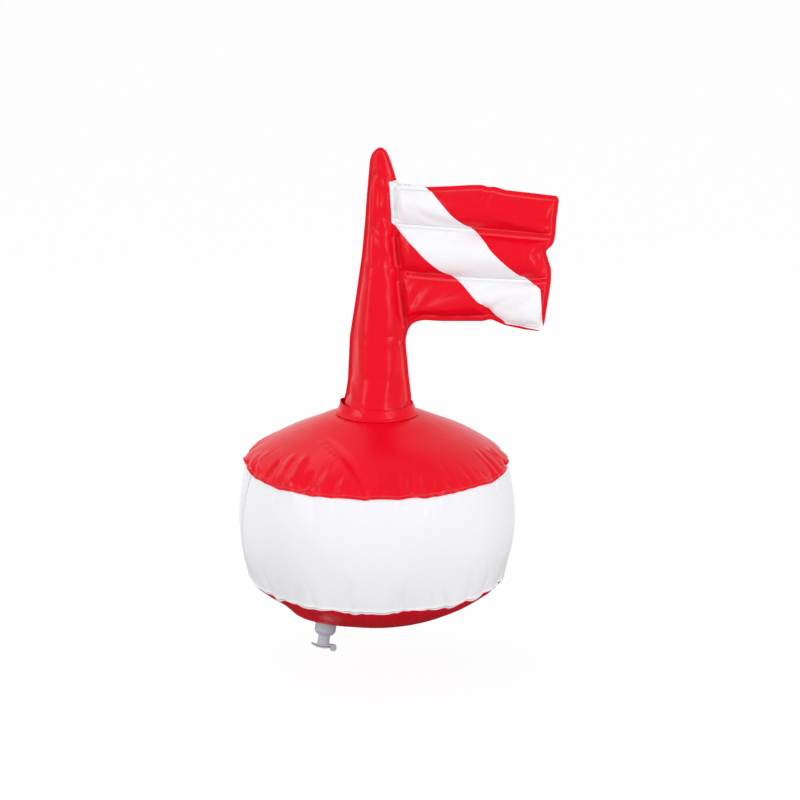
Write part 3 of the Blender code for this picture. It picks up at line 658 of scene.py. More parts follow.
GATHERS = {("top", True): (17, 1.15, 0.9), ("bottom", False): (12, 0.8, -0.5),
           ("band", True): (7, 0.5, 0), ("band", False): (16, 0.8, 0)}
GATHER_SEEDS = {True: 11.0, False: 27.0}
DOME_FOLDS = (((-152, 128, -146, 141), 4.5, 1.3), ((-147, 122, -138, 140), 4.0, 1.6),
              ((-131, 120, -128, 141), 4.5, -2.4), ((-125, 109, -119.5, 138), 5.5, 1.7),
              ((-115.5, 106, -112.5, 137), 6.0, 2.0), ((-105, 124, -104, 144), 4.6, -2.3),
              ((-96, 122, -96.5, 143), 4.8, 1.8), ((-91.5, 128, -91, 144), 2.8, -1.3),
              ((-87.5, 127, -87, 145), 3.2, 1.2),
              ((-135, 86, -113.5, 90, -96, 105, -87.5, 117, -81.5, 132, -79.5, 144), 2.4, 1.2),
              ((-131, 80, -110, 84, -93, 99, -85, 112, -79, 128), 4.0, -1.3),
              ((-78, 129, -77.5, 145), 3.0, -1.2), ((-70, 119, -70.5, 145), 6.5, 1.1),
              ((-63, 124, -64, 145), 3.0, -1.5), ((-59, 124, -60, 145), 2.6, 1.2),
              ((-54, 116, -57, 145), 3.0, -1.7), ((-51, 124, -53.5, 145), 2.6, 1.3),
              ((-45.5, 131, -46.5, 145), 3.4, 0.9), ((-38, 132, -39, 145), 3.0, -1.0),
              ((-27.5, 133, -26.5, 145), 3.2, 0.9), ((-17, 134, -17, 145), 3.0, -0.8),
              ((-5, 108, -7, 128, -8, 145), 2.4, 1.2), ((-1, 112, -3, 130, -4, 145), 2.6, -1.4),
              ((7, 116, 6, 131, 3.5, 144), 2.2, 1.1), ((11, 120, 10, 132, 8, 144), 2.6, -1.5),
              ((27, 122, 18, 140), 2.4, 1.0))
FOLD_STRENGTH = 1.7
SEAM_DRAW = 2.0 * MM
SEAM_DRAW_AT = 18
SEAM_LIFT = 3.8 * MM
LOW_SEAM_LIFTS = ((0, 18, 45, 130, 158, 178, 202, 215, 228, 240, 328, 345, 360),
                  (3.0, 2.6, 0.0, 0.0, 3.5, 5.2, 5.2, 3.8, 1.6, 0.0, 0.0, 1.6, 3.0))
SEAM_LIFT_TABLE = ((135, 155, 178, 204, 216, 224, 234), (0.0, 0.4, 1.0, 1.0, 0.7, 0.3, 0.0))


def fold_distance(spots, line):
    """Distance of each spot from a polyline of (bearing, radius) pairs, and how far along it lies, 0 to 1."""
    corners = [np.array([radius * MM * math.cos(bearing * DEG), radius * MM * math.sin(bearing * DEG)])
               for bearing, radius in zip(line[::2], line[1::2])]
    nearest, along = np.full(len(spots), 1.0), np.zeros(len(spots))
    for step, (first, second) in enumerate(zip(corners, corners[1:])):
        run = second - first
        share = np.clip((spots - first) @ run / (run @ run), 0, 1)
        away = np.linalg.norm(spots - first - share[:, None] * run, axis=1)
        closer = away < nearest
        nearest[closer] = away[closer]
        along[closer] = (step + share[closer]) / (len(corners) - 1)
    return nearest, along


def measured_folds():
    """The folds read off the front of the dome, and both seams drawn in and lifted as in the photo."""
    added = np.zeros((len(FLAT), 3))
    top = np.nonzero(CUT_PARTS == "top")[0]
    spots = SETTLED[top][:, :2]
    depth = np.zeros(len(top))
    for line, width, height in DOME_FOLDS:
        away, along = fold_distance(spots, line)
        fade = np.clip(along / 0.35, 0, 1)
        across = np.exp(-(away / (width * MM * (0.6 + 0.4 * along))) ** 2)
        depth += FOLD_STRENGTH * height * MM * across * fade * fade * (3 - 2 * fade)
    radii = np.maximum(np.linalg.norm(spots, axis=1), 1e-6)
    out = np.column_stack([spots / radii[:, None], np.full(len(top), 0.95)]) / math.hypot(1, 0.95)
    added[top] = out * depth[:, None]
    for index, (part, flat, place) in enumerate(zip(CUT_PARTS, FLAT, SETTLED)):
        angle = math.atan2(place[1], place[0])
        from_rim = DISC_RADIUS - math.hypot(flat[0], flat[1])
        if part != "bottom":
            down = from_rim if part == "top" else STRIP_HEIGHT - flat[2]
            side = abs(angle / DEG - SEAM_DRAW_AT)
            pull = SEAM_DRAW * math.exp(-(side / 20) ** 2 - (down / (18 * MM)) ** 2)
            added[index] -= np.array([math.cos(angle), math.sin(angle), 0.0]) * pull
            share = float(np.interp(angle / DEG % 360, *SEAM_LIFT_TABLE))
            added[index][2] += SEAM_LIFT * share * math.exp(-(down / (26 * MM)) ** 2)
        if part != "top":
            away = from_rim if part == "bottom" else flat[2]
            lift = float(np.interp(angle / DEG % 360, *LOW_SEAM_LIFTS))
            added[index][2] += lift * MM * math.exp(-(away / (24 * MM)) ** 2)
    return added


PUCKER_LIMIT = 4.5 * MM
TOP_PUCKERS = ((0.05, 0.095, 0.115, 0.130, TOP_SEAM_RADIUS), (0.10, 0.12, 0.36, 0.85, 0.9))
BAND_PUCKERS = ((0.0, 0.06, 0.2, 0.5, 0.85, 0.95, 1.0), (0.6, 0.55, 0.45, 0.32, 0.35, 0.6, 0.9))
BOTTOM_PUCKERS = ((0.03, 0.1, BOTTOM_SEAM_RADIUS), (0.3, 0.4, 0.6))
RING_KEYS = ring_keys()
CUFF_HOLD = 3 * MM
DOUBLER_HOLD = 21 * MM
VALVE_HOLD = 18 * MM
BODY_SEED = {"frequency": 40, "depth": 0.4 * MM}
BODY_AIR = {"frames": 26, "lift": 8, "bending": 0.05}
from_valve = np.hypot(SETTLED[:, 0] - VALVE_POINT.x, SETTLED[:, 1] - VALVE_POINT.y)
settled_radius = np.hypot(SETTLED[:, 0], SETTLED[:, 1])
BODY_PINS = ((CUT_PARTS == "top") & (settled_radius < CUFF_FOOT_RADIUS + CUFF_HOLD)
             | (CUT_PARTS == "bottom") & ((settled_radius < DOUBLER_HOLD) | (from_valve < VALVE_HOLD)))
put_places(drum.data, seeded(FLAT, point_normals(drum.data), **BODY_SEED))
body_places = keep_measured_profile(inflate(drum, SETTLED, BODY_PINS, **BODY_AIR))
print("body stands from", round(float(body_places[:, 2].min()), 4),
      "to", round(float(body_places[:, 2].max()), 4))

# %% [markdown]
# ## From one inflated drum to three panels
#
# Each panel is a copy of the drum with the other cuts' faces deleted. The seams are fin seams folded
# down: the red top's rim laps over the white strip, and the strip's lower rim laps over the red
# bottom. Such a lap is made by extruding the open rim a few times and laying each new ring a little
# off the panel below it, with a pressed groove where the weld bar closed it and a lip that stands out.

# %% Panels and laps
FILM = 0.5 * MM
COLUMN_TURN = 2 * math.pi / SEGMENTS
write_attribute(drum.data, "cut_index", "INT", range(len(FLAT)))
put_places(drum.data, body_places)


def column_of(index):
    """Which of the drum's upright lines a point of the cut is on."""
    return round(math.atan2(FLAT[index][1], FLAT[index][0]) / COLUMN_TURN) % SEGMENTS


def column_lines(part, from_seam):
    """For each upright line, the points of one cut in order away from a seam."""
    lines = [[] for _ in range(SEGMENTS)]
    for index in np.nonzero(CUT_PARTS == part)[0]:
        if math.hypot(FLAT[index][0], FLAT[index][1]) > RING_STEP / 2:
            lines[column_of(index)].append(index)
    return [np.array(sorted(line, key=from_seam)) for line in lines]


BAND_DOWN = column_lines("band", lambda index: -FLAT[index][2])
BOTTOM_IN = column_lines("bottom", lambda index: -math.hypot(FLAT[index][0], FLAT[index][1]))


def along_line(points, distance):
    """The place at a distance along a line of points, and the line's direction there."""
    steps = np.linalg.norm(np.diff(points, axis=0), axis=1)
    arcs = np.concatenate([[0], np.cumsum(steps)])
    place = np.array([np.interp(distance, arcs, points[:, axis]) for axis in range(3)])
    segment = min(int(np.searchsorted(arcs, distance, side="right")), len(steps)) - 1
    return place, (points[segment + 1] - points[segment]) / steps[segment]


def take_part(part, name):
    """A copy of the inflated drum with only one cut's faces."""
    only(drum)
    bpy.ops.object.duplicate()
    piece = bpy.context.object
    piece.name = name
    others = []
    for face in piece.data.polygons:
        kinds = {str(CUT_PARTS[index]) for index in face.vertices}
        kind = "band" if kinds == {"band"} else (kinds - {"band"}).pop()
        if kind != part:
            others.append(face.index)
    pick(piece, "FACE", others)
    bpy.ops.mesh.delete(type="FACE")
    bpy.ops.object.mode_set(mode="OBJECT")
    return piece


def open_edges(mesh):
    """The ends of each edge that has one face only."""
    faces_at = {}
    for face in mesh.polygons:
        for key in face.edge_keys:
            faces_at[key] = faces_at.get(key, 0) + 1
    return [key for key, count in faces_at.items() if count == 1]


def cut_indices(mesh):
    """Which point of the cut each point of a panel comes from."""
    return [item.value for item in mesh.attributes["cut_index"].data]


def rim_edges(mesh, flat_height):
    """The open edges of a panel along one seam of the drum."""
    index_of = cut_indices(mesh)
    rim = set(open_edges(mesh))
    found = []
    for edge in mesh.edges:
        flats = [FLAT[index_of[i]] for i in edge.vertices]
        on_seam = all(math.hypot(p[0], p[1]) > DISC_RADIUS - NEARLY and abs(p[2] - flat_height) < NEARLY
                      for p in flats)
        if on_seam and tuple(sorted(edge.vertices)) in rim:
            found.append(edge.index)
    return found


def lap_over(piece, flat_height, stops, place_at):
    """Extrude a rim once for each stop and lay each new ring where place_at says."""
    piece.data.attributes.new("lap", "FLOAT", "POINT")
    pick(piece, "EDGE", rim_edges(piece.data, flat_height))
    for stop in stops:
        bpy.ops.mesh.extrude_edges_move()
        bpy.ops.object.mode_set(mode="OBJECT")
        index_of = cut_indices(piece.data)
        laps = piece.data.attributes["lap"].data
        for vertex in piece.data.vertices:
            if vertex.select:
                vertex.co = place_at(index_of[vertex.index], stop)
                laps[vertex.index].value = stop[0]
        bpy.ops.object.mode_set(mode="EDIT")
    bpy.ops.object.mode_set(mode="OBJECT")
    return piece


def outward_from(direction, column):
    """The direction out of the body, square to a line on it."""
    angle = column * COLUMN_TURN
    radial = np.array([math.cos(angle), math.sin(angle), 0.0])
    out = radial - direction * float(radial @ direction)
    down = np.array([0.0, 0.0, -1.0])
    if np.linalg.norm(out) < 0.3:
        out = down - direction * float(down @ direction)
    return out / np.linalg.norm(out)

# %% The red lap over the white strip
TOP_LAP = 5.2 * MM
TOP_LAP_WAVE = 0.7 * MM
TUCKED_AT = (201.0, 17.0)
TUCK_WIDTH = 13.0
TUCK = 4.1 * MM
TUCK_LIP = 1.0 * MM
LOOSE_LIP = 0.9 * MM
TOP_LAP_STOPS = ((0.10, 0.85), (0.30, 0.95), (0.44, 0.62), (0.52, 0.60), (0.66, 0.95), (0.85, 0.95),
                 (1.0, 1.15))


def top_lap_place(index, stop):
    """Where a ring of the red lap lies: a share of its length down, and off the strip."""
    share, off = stop
    column = column_of(index)
    angle = column * COLUMN_TURN
    length = TOP_LAP + TOP_LAP_WAVE * (wave(angle, 4.4, 5.0) + 0.5 * wave(angle, 8.1, 14.0))
    tuck = sum(math.exp(-(abs(turned_by(angle, at)) / TUCK_WIDTH) ** 2) for at in TUCKED_AT)
    length -= TUCK * tuck
    place, direction = along_line(body_places[BAND_DOWN[column]], length * share)
    lip = max(max(wave(angle, 2.2, 4.0), 0) * LOOSE_LIP, TUCK_LIP * tuck) * max(share - 0.6, 0) / 0.4
    return Vector(place + outward_from(direction, column) * (off * MM + lip))


top_panel = lap_over(take_part("top", "top_film"), STRIP_HEIGHT, TOP_LAP_STOPS, top_lap_place)

# %% The white lap over the red bottom
LAP_TABLE = ((-180, 1.0), (-168, 0.9), (-161, 2.6), (-154, 1.0), (-140, 1.0), (-120.1, 5.5), (-113.7, 0.9),
             (-106, 4.5), (-98.9, 4.5), (-93.4, 2.0), (-88.6, 2.0), (-83.3, 7.7), (-78, 4.5), (-69.4, 4.5),
             (-60.2, 3.2), (-55.3, 1.0), (-38, 6.2), (-32.5, 1.2), (-24.2, 4.5), (-12.3, 0.9), (0, 1.2))
BOTTOM_LAP_STOPS = ((0.12, 0.85), (0.32, 0.95), (0.50, 0.62), (0.60, 0.62), (0.75, 0.95), (0.90, 0.95),
                    (1.0, 1.0))
BACK_LAP_WAVE = 3.6
LEAST_LAP = 0.9 * MM


def bottom_lap_length(angle):
    """Length of the white lap: as seen along the front, and gently uneven behind."""
    bearing = angle / DEG
    if bearing > 180:
        bearing -= 360
    if bearing <= 0:
        return float(np.interp(bearing, *zip(*LAP_TABLE))) * MM
    ends = LAP_TABLE[-1][1] + (LAP_TABLE[0][1] - LAP_TABLE[-1][1]) * bearing / 180
    return (ends + BACK_LAP_WAVE * wave(angle, 6.3, 7.0) * min(4 * math.sin(bearing * DEG), 1)) * MM


def bottom_lap_place(index, stop):
    """Where a ring of the white lap lies under the red bottom's rim."""
    share, off = stop
    column = column_of(index)
    seam = body_places[BAND_DOWN[column]][-1:]
    line = np.concatenate([seam, body_places[BOTTOM_IN[column]]])
    place, direction = along_line(line, max(bottom_lap_length(column * COLUMN_TURN), LEAST_LAP) * share)
    return Vector(place + outward_from(direction, column) * off * MM)


side_band = lap_over(take_part("band", "band_film"), 0.0, BOTTOM_LAP_STOPS, bottom_lap_place)
bottom_panel = take_part("bottom", "bottom_film")
print("panels", len(top_panel.data.polygons), len(side_band.data.polygons), len(bottom_panel.data.polygons))

# %% [markdown]
# One subdivision rounds the puckers, and the wall goes behind the surface, so that the outside stays
# where the cut was inflated to. The edge attribute marks the white lap's last millimetre, where the
# red below shows through. The pressed line of each lap goes into the weld attribute, and so do the two
# lines of the strip's own upright lap, where the film also steps up a little. The bottom's hole for
# the valve is a boolean cut, as a hole punch makes it.

# %% Finish the panels
def paint_edge(piece, rings_in):
    """Mark the rim of a lap for the pink tint: the open edge and a few rings behind it."""
    mesh = piece.data
    weight = np.zeros(len(mesh.vertices))
    lap = places(mesh)[:, 2] < LAP_BELOW
    rim = {i for key in open_edges(mesh) for i in key if lap[i]}
    neighbours = [[] for _ in mesh.vertices]
    for edge in mesh.edges:
        first, second = edge.vertices
        neighbours[first].append(second)
        neighbours[second].append(first)
    level, seen = rim, set(rim)
    for ring in range(rings_in):
        for index in level:
            weight[index] = 1 - ring / rings_in
        level = {n for i in level for n in neighbours[i]} - seen
        seen |= level
    write_attribute(mesh, "edge", "FLOAT", weight)


def strip_lap_away(spot):
    """Millimetres from the edges of the strip's upright lap: less than 0 within it."""
    bearing = np.interp(spot[2] / MM, *zip(*STRIP_LAP))
    turned = turned_by(math.atan2(spot[1], spot[0]), bearing)
    middle = turned * DEG * math.hypot(spot[0], spot[1]) / MM - STRIP_LAP_WIDTH / 2
    return abs(middle) - STRIP_LAP_WIDTH / 2


def paint_laps(piece):
    """Write each point's distance from the pressed line of its lap."""
    laps = np.empty(len(piece.data.vertices))
    piece.data.attributes["lap"].data.foreach_get("value", laps)
    lines = (laps - LAP_LINE) * TOP_LAP / MM
    if piece == side_band:
        raise_strip_lap(piece, lines)
    write_attribute(piece.data, "weld", "FLOAT", np.clip(lines, -LAP_REACH, LAP_REACH) - WELD_FAR)


def raise_strip_lap(piece, lines):
    """Raise the strip's upright lap a little, and take its edges in among the pressed lines."""
    spots, normals = places(piece.data), point_normals(piece.data)
    for index, spot in enumerate(spots):
        away = strip_lap_away(spot)
        if abs(away) < abs(lines[index]):
            lines[index] = away
        spots[index] += normals[index] * STRIP_LAP_STEP * min(max(-away, 0), 1)
    put_places(piece.data, spots)


def back_and_coat(piece, material):
    """Give a film its wall, smooth it and put its material on."""
    thicken(piece, FILM, -1)
    bpy.ops.object.shade_smooth()
    return coat(piece, material)


def punch_hole(piece, centre, axis, radius):
    """Cut a round hole through a film."""
    only(piece)
    bpy.ops.mesh.primitive_cylinder_add(vertices=96, radius=radius, depth=PUNCH_LENGTH)
    punch = bpy.context.object
    turn = Vector((0, 0, 1)).rotation_difference(axis).to_matrix().to_4x4()
    punch.matrix_world = Matrix.Translation(centre) @ turn
    return combine(piece, punch, "DIFFERENCE")


def combine(piece, other, operation):
    """Join another solid to a piece or cut it out, and drop it."""
    joint = piece.modifiers.new("combine", "BOOLEAN")
    joint.operation = operation
    joint.solver = "EXACT"
    joint.object = other
    apply_all(piece)
    bpy.data.objects.remove(other)
    return piece


LAP_BELOW = 3 * MM
LAP_LINE = 0.42
LAP_REACH = 3
EDGE_RINGS = 2
STRIP_LAP = ((0.0, -154.0), (60.0, -151.5), (132.0, -146.0))
STRIP_LAP_WIDTH = 8.0
STRIP_LAP_STEP = 0.45 * MM
VALVE_HOLE_RADIUS = 8.2 * MM
PUNCH_LENGTH = 30 * MM
paint_edge(side_band, EDGE_RINGS)
for panel, material in ((top_panel, RED_FILM), (side_band, WHITE_FILM), (bottom_panel, RED_FILM)):
    round_off(panel)
    if panel != bottom_panel:
        paint_laps(panel)
    back_and_coat(panel, material)
punch_hole(bottom_panel, VALVE_POINT, VALVE_OUT, VALVE_HOLE_RADIUS)
print("top, band, bottom points", [len(p.data.vertices) for p in (top_panel, side_band, bottom_panel)])

for piece, node, slot in ((top_panel, "top_panel", "red_film"), (side_band, "side_band", "white_film"),
                          (bottom_panel, "bottom_panel", "red_film")):
    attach(piece, "float")
    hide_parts(node)
bpy.data.objects.remove(drum)

# %% [markdown]
# ## The mast and the flag
#
# Mast and flag are one pair of cut sheets, welded round the edge, along two lines across the flag and,
# with gaps for the air, down the hoist. A sheet is a flat grid whose lines follow those welds, so a
# weld is simply a line of pinned points. The outline and the welds settle where they stand on the
# inflated flag. The rows between them are longer in the cut than in place, and that spare film makes
# the chambers swell and their ends pucker.

# %% Outline and welds of the inflated mast and flag
LEFT_EDGE = ((185.0, -39.3), (198.5, -37.2), (204.5, -35.3), (219.8, -32.9), (267.8, -30.5), (311.3, -23.5),
             (357.9, -16.6), (393.0, -13.1), (423.6, -10.8), (461.7, -7.3), (468.0, -5.5), (473.0, -1.5),
             (475.8, 2.6))
RIGHT_EDGE = ((185.0, 39.3), (207.4, 38.8), (229.4, 36.0), (264.5, 32.6), (281.0, 32.6), (332.0, 26.3),
              (347.0, 25.2), (380.0, 21.0), (402.0, 21.5), (432.0, 21.8), (436.6, 23.7), (455.0, 18.2),
              (468.0, 13.4), (473.0, 10.4), (475.8, 6.2))
FLY_EDGE = ((288.2, 181.4), (295.2, 186.8), (343.3, 194.0), (356.3, 193.9), (366.0, 190.5), (375.3, 187.6),
            (381.1, 194.7), (389.9, 197.9), (412.0, 199.4), (431.8, 201.8), (434.9, 199.6))
FLAG_TOP = ((23.7, 436.6), (40.0, 436.5), (55.3, 436.1), (80.0, 438.4), (104.1, 441.1), (118.0, 442.0),
            (124.0, 440.0), (131.0, 441.0), (142.7, 438.0), (199.6, 434.9))
FLAG_FOOT = ((32.6, 269.0), (34.4, 278.0), (38.6, 285.0), (45.0, 289.2), (53.3, 291.3), (73.5, 291.6),
             (119.3, 294.8), (128.2, 297.6), (143.7, 292.1), (165.0, 289.0), (181.4, 288.2))
UPPER_WELD = ((16.2, 393.7), (106.0, 392.6), (195.7, 390.8))
LOWER_WELD = ((25.0, 340.5), (85.7, 339.9), (177.6, 341.7), (194.0, 344.4))
HOIST_WELDS = ((431.8, 401.7), (379.8, 347.4), (332.2, 281.1))
MAST_FOOT = 185.3 * MM
MAST_TIP = 475.8 * MM
EDGE_WELD = 4.6 * MM
FLAG_EDGE_WELD = 4.8 * MM
HOIST_WELD = 2.3 * MM
FOOT_WELD = 1.5 * MM
CUFF_COVER = 16 * MM
CHAMBER_WELD = 2.9 * MM
FLAG_DEPTH = 12.5 * MM
END_ROUND = 20.0 * MM
WELD_GAP = 0.65 * MM
MAST_DEPTHS = ((0.0, 1.0), (0.06, 0.96), (0.14, 0.88), (0.6, 0.85), (1.0, 0.8))
SPARE = 1.035


def read_line(table, value):
    """Read a table of (where, how much) in millimetres, in metres."""
    return float(np.interp(value / MM, *zip(*table))) * MM

# %% Rows and columns of the sheet
MAST_STEPS = 20
FLAG_STEPS = 60
CHAMBER_STEPS = 16
FOOT_STEPS = 26
TIP_STEPS = 12
CHAMBERS = 3


def flag_row_places():
    """Each flag row between the welds, as its chamber and its share of the chamber's height."""
    return [(chamber, step / CHAMBER_STEPS)
            for chamber in range(CHAMBERS) for step in range(CHAMBER_STEPS + 1)]


FLAG_ROW_PLACES = flag_row_places()
FIRST_FLAG_ROW = FOOT_STEPS
LAST_FLAG_ROW = FOOT_STEPS + len(FLAG_ROW_PLACES) + 3
ROWS = LAST_FLAG_ROW + TIP_STEPS
HOIST = MAST_STEPS + 4
COLUMNS = HOIST + FLAG_STEPS + 3


def flag_row_height(row, x):
    """Height and fullness of a flag row at a distance across."""
    step = row - FIRST_FLAG_ROW
    foot, low, high, top = (read_line(line, x) for line in (FLAG_FOOT, LOWER_WELD, UPPER_WELD, FLAG_TOP))
    if step <= 1:
        return foot + FLAG_EDGE_WELD * step / 2, 0.0
    if step >= LAST_FLAG_ROW - FIRST_FLAG_ROW - 1:
        return top - FLAG_EDGE_WELD * (LAST_FLAG_ROW - FIRST_FLAG_ROW - step) / 2, 0.0
    chamber, share = FLAG_ROW_PLACES[step - 2]
    start = (foot + FLAG_EDGE_WELD, low + CHAMBER_WELD, high + CHAMBER_WELD)[chamber]
    end = (low - CHAMBER_WELD, high - CHAMBER_WELD, top - FLAG_EDGE_WELD)[chamber]
    turn = math.pi * share
    return start + (end - start) * (1 - math.cos(turn)) / 2, (math.sin(turn) + math.sin(turn) ** 2) / 2


def hoist_height(row):
    """Height of a row where it meets the hoist."""
    if row < FIRST_FLAG_ROW:
        return MAST_FOOT + (read_line(FLAG_FOOT, RIGHT_EDGE[4][1] * MM) - MAST_FOOT) * row / FIRST_FLAG_ROW
    if row > LAST_FLAG_ROW:
        low = FLAG_TOP[0][1] * MM
        share = (row - LAST_FLAG_ROW) / (ROWS - LAST_FLAG_ROW)
        return low + (MAST_TIP - low) * math.sin(share * math.pi / 2) ** 0.9
    height = FLAG_FOOT[0][1] * MM
    for _ in range(6):
        height = flag_row_height(row, read_line(RIGHT_EDGE, height))[0]
    return height


HOIST_HEIGHTS = [hoist_height(row) for row in range(ROWS + 1)]


def smooth_step(value):
    """0 to 1 with soft ends."""
    value = min(max(value, 0), 1)
    return value * value * (3 - 2 * value)


def right_weld(row, height):
    """Width of the mast's weld on the flag's side: a line beside the flag, a flange elsewhere."""
    if height < MAST_FOOT + CUFF_COVER:
        return FOOT_WELD
    low, high = HOIST_HEIGHTS[FIRST_FLAG_ROW], HOIST_HEIGHTS[LAST_FLAG_ROW]
    outside = max(low - height, height - high, 0)
    return HOIST_WELD + (EDGE_WELD - HOIST_WELD) * smooth_step(outside / (12 * MM))


def bell(value, centre, width):
    """A smooth bump of height 1."""
    return math.exp(-((value - centre) / width) ** 2)


MAST_GROOVE = ((200.0, 9.0), (250.0, 8.0), (300.0, 6.5), (340.0, 5.5), (385.0, 1.5), (400.0, 4.5),
               (440.0, 9.0), (470.0, 8.0))
MAST_KINKS = ((392.0, -8.0, 5.0, 1.3), (387.0, 10.0, 9.0, 1.2), (296.0, 4.0, 26.0, 0.9),
              (226.0, 0.0, 60.0, 1.9))


FLAG_FOLDS = (((129, 443, 125.5, 434, 121, 421), 3.4, -5.5, 0.2),
              ((135.5, 442, 134, 433, 129, 424), 3.6, 2.2, 0.3),
              ((119, 442, 115, 433, 113, 424), 4.5, 1.8, 0.3),
              ((131, 296, 125.5, 310, 117.5, 318), 3.6, -5.5, 0.2),
              ((138, 296, 133, 308, 126, 318), 4.0, 2.2, 0.3),
              ((121, 296, 115, 306, 108, 314), 4.5, 2.0, 0.3),
              ((199, 386, 184, 382.5, 173, 377, 166, 368), 3.4, 3.6, 0.35),
              ((196, 378, 184, 376, 177, 371), 3.4, -4.5, 0.2),
              ((177, 377, 180.5, 367, 184, 360, 193, 352), 2.6, -4.6, 0.25),
              ((183, 376, 187.5, 366, 191, 356), 3.0, 3.8, 0.2),
              ((170, 372, 173, 361, 180, 351, 190, 347), 4.0, 2.4, 0.4))
MAST_FOLDS = (((-9, 388, 2.5, 378, 15, 377), 2.6, -1.8, 0.3), ((-8, 391.5, 4, 382, 15, 381), 2.2, 0.9, 0.3),
              ((19, 344, 25, 331, 33, 338), 3.0, -1.6, 0.2), ((-26, 271, 0, 269, 31, 275), 3.0, -1.2, 0.3),
              ((-30, 219, 0, 217, 36, 213), 2.2, -1.5, 0.1), ((18, 194, 30, 203, 40, 211), 3.2, -2.2, 0.2),
              ((35.5, 232, 37, 218, 38, 207), 1.8, 1.2, 0.3))


def folds_at(folds, x, height):
    """Sum of folds at a place: each is a polyline, its width and height, and the share in which it fades."""
    total = 0.0
    for line, width, rise, soft in folds:
        corners = list(zip(line[::2], line[1::2]))
        nearest, along = 1e9, 0.0
        for step, ((x0, z0), (x1, z1)) in enumerate(zip(corners, corners[1:])):
            run = (x1 - x0) ** 2 + (z1 - z0) ** 2
            share = min(max(((x - x0) * (x1 - x0) + (height - z0) * (z1 - z0)) / run, 0), 1)
            away = math.hypot(x - x0 - share * (x1 - x0), height - z0 - share * (z1 - z0))
            if away < nearest:
                nearest, along = away, (step + share) / (len(corners) - 1)
        if nearest < 3 * width:
            fade = min(1, (1 - along) / soft + 0.15)
            total += rise * fade * bell(nearest, 0, width)
    return total


def mast_marks(x, height):
    """Soft folds of the mast, in millimetres: a lengthwise groove, a ridge beside it, and kinks across."""
    x, height = x / MM, height / MM
    groove = float(np.interp(height, *zip(*MAST_GROOVE)))
    wide = float(np.interp(height, (200, 300, 400, 470), (7.0, 5.5, 4.0, 3.0)))
    mark = -2.3 * bell(x, groove, wide) + 1.5 * bell(x, groove - 2.4 * wide, 1.6 * wide)
    mark += 1.2 * bell(x, groove + 2.6 * wide, 1.6 * wide)
    for level, centre, reach, depth in MAST_KINKS:
        away = height - level + 0.06 * x
        mark -= depth * bell(x, centre, reach) * bell(away, 0, 4.2) * (1 if away > 0 else bell(away, 0, 2.0))
    mark += 1.5 * smooth_step((224 - height) / 8)
    return mark + folds_at(MAST_FOLDS, x, height)


def flag_marks(x, height):
    """Folds of the flag, in millimetres: creases at the pinched edges and the tuck in the fly."""
    x, height = x / MM, height / MM
    mark = folds_at(FLAG_FOLDS, x, height)
    mark -= 1.3 * bell(x, 52.0 + (height - 370) * 0.25, 7.0) * bell(height, 366.0, 20.0)
    mark -= 1.2 * bell(height, 357.0 - (x - 120) * 0.12, 4.0) * bell(x, 112.0, 26.0)
    mark -= 1.6 * bell(x, 45.0, 4.0) * bell(height, 318.0, 16.0)
    return mark


def mast_point(column, row):
    """A settled point of the mast, with how full the tube is there."""
    height = HOIST_HEIGHTS[row]
    left, right = read_line(LEFT_EDGE, height), read_line(RIGHT_EDGE, height)
    narrow = (right - left) / 3
    near = min(FOOT_WELD if height < MAST_FOOT + CUFF_COVER else EDGE_WELD, narrow)
    far = min(right_weld(row, height), narrow)
    if column <= 2:
        return left + near * column / 2, height, 0.0
    if column >= HOIST - 1:
        return right - far * (HOIST - column), height, 0.0
    turn = math.pi * (column - 2) / (HOIST - 3)
    half = (right - left - near - far) / 2
    share = (height - MAST_FOOT) / (MAST_TIP - MAST_FOOT)
    depth = half * read_line(MAST_DEPTHS, share * MM) / MM
    close = (height - (MAST_TIP - 30 * MM)) / (25.4 * MM)
    if close > 0:
        depth *= math.sqrt(max(1 - close * close, 0))
    x = left + near + half * (1 - math.cos(turn))
    full = math.sin(turn)
    return x, height, max(depth * full + mast_marks(x, height) * MM * full * min(depth / (9 * MM), 1), 0)


def flag_point(column, row):
    """A settled point of the flag, with how full its chamber is there."""
    start = read_line(RIGHT_EDGE, HOIST_HEIGHTS[row])
    end_height = flag_row_height(row, FLY_EDGE[4][1] * MM)[0]
    end = read_line(FLY_EDGE, end_height)
    step = column - HOIST
    if step == 1:
        x = start + HOIST_WELD
    elif step >= FLAG_STEPS + 1:
        x = end - FLAG_EDGE_WELD * (FLAG_STEPS + 3 - step) / 2
    else:
        share = (step - 1) / FLAG_STEPS
        x = start + HOIST_WELD + (end - FLAG_EDGE_WELD - start - HOIST_WELD) * share
    height, full = flag_row_height(row, x)
    ends = min(x - start - HOIST_WELD, end - FLAG_EDGE_WELD - x)
    short = 1 - min(max(ends / END_ROUND, 0), 1)
    full *= math.sqrt(1 - short * short)
    return x, height, max(FLAG_DEPTH * full + flag_marks(x, height) * MM * min(full * 1.6, 1), 0)


def sheet_point(column, row):
    """A settled point of the front sheet, as x, z and depth."""
    return mast_point(column, row) if column <= HOIST else flag_point(column, row)


SHEET = {(column, row): sheet_point(column, row)
         for row in range(ROWS + 1) for column in range(COLUMNS + 1)
         if column <= HOIST or FIRST_FLAG_ROW <= row <= LAST_FLAG_ROW}
print("sheet points", len(SHEET), "rows", ROWS, "columns", COLUMNS)

# %% The flat cut of the sheet
def running_lengths(keys):
    """Running length along a line of the sheet's points."""
    steps = (math.dist(SHEET[first], SHEET[second]) for first, second in zip(keys, keys[1:]))
    return [0.0, *itertools.accumulate(steps)]


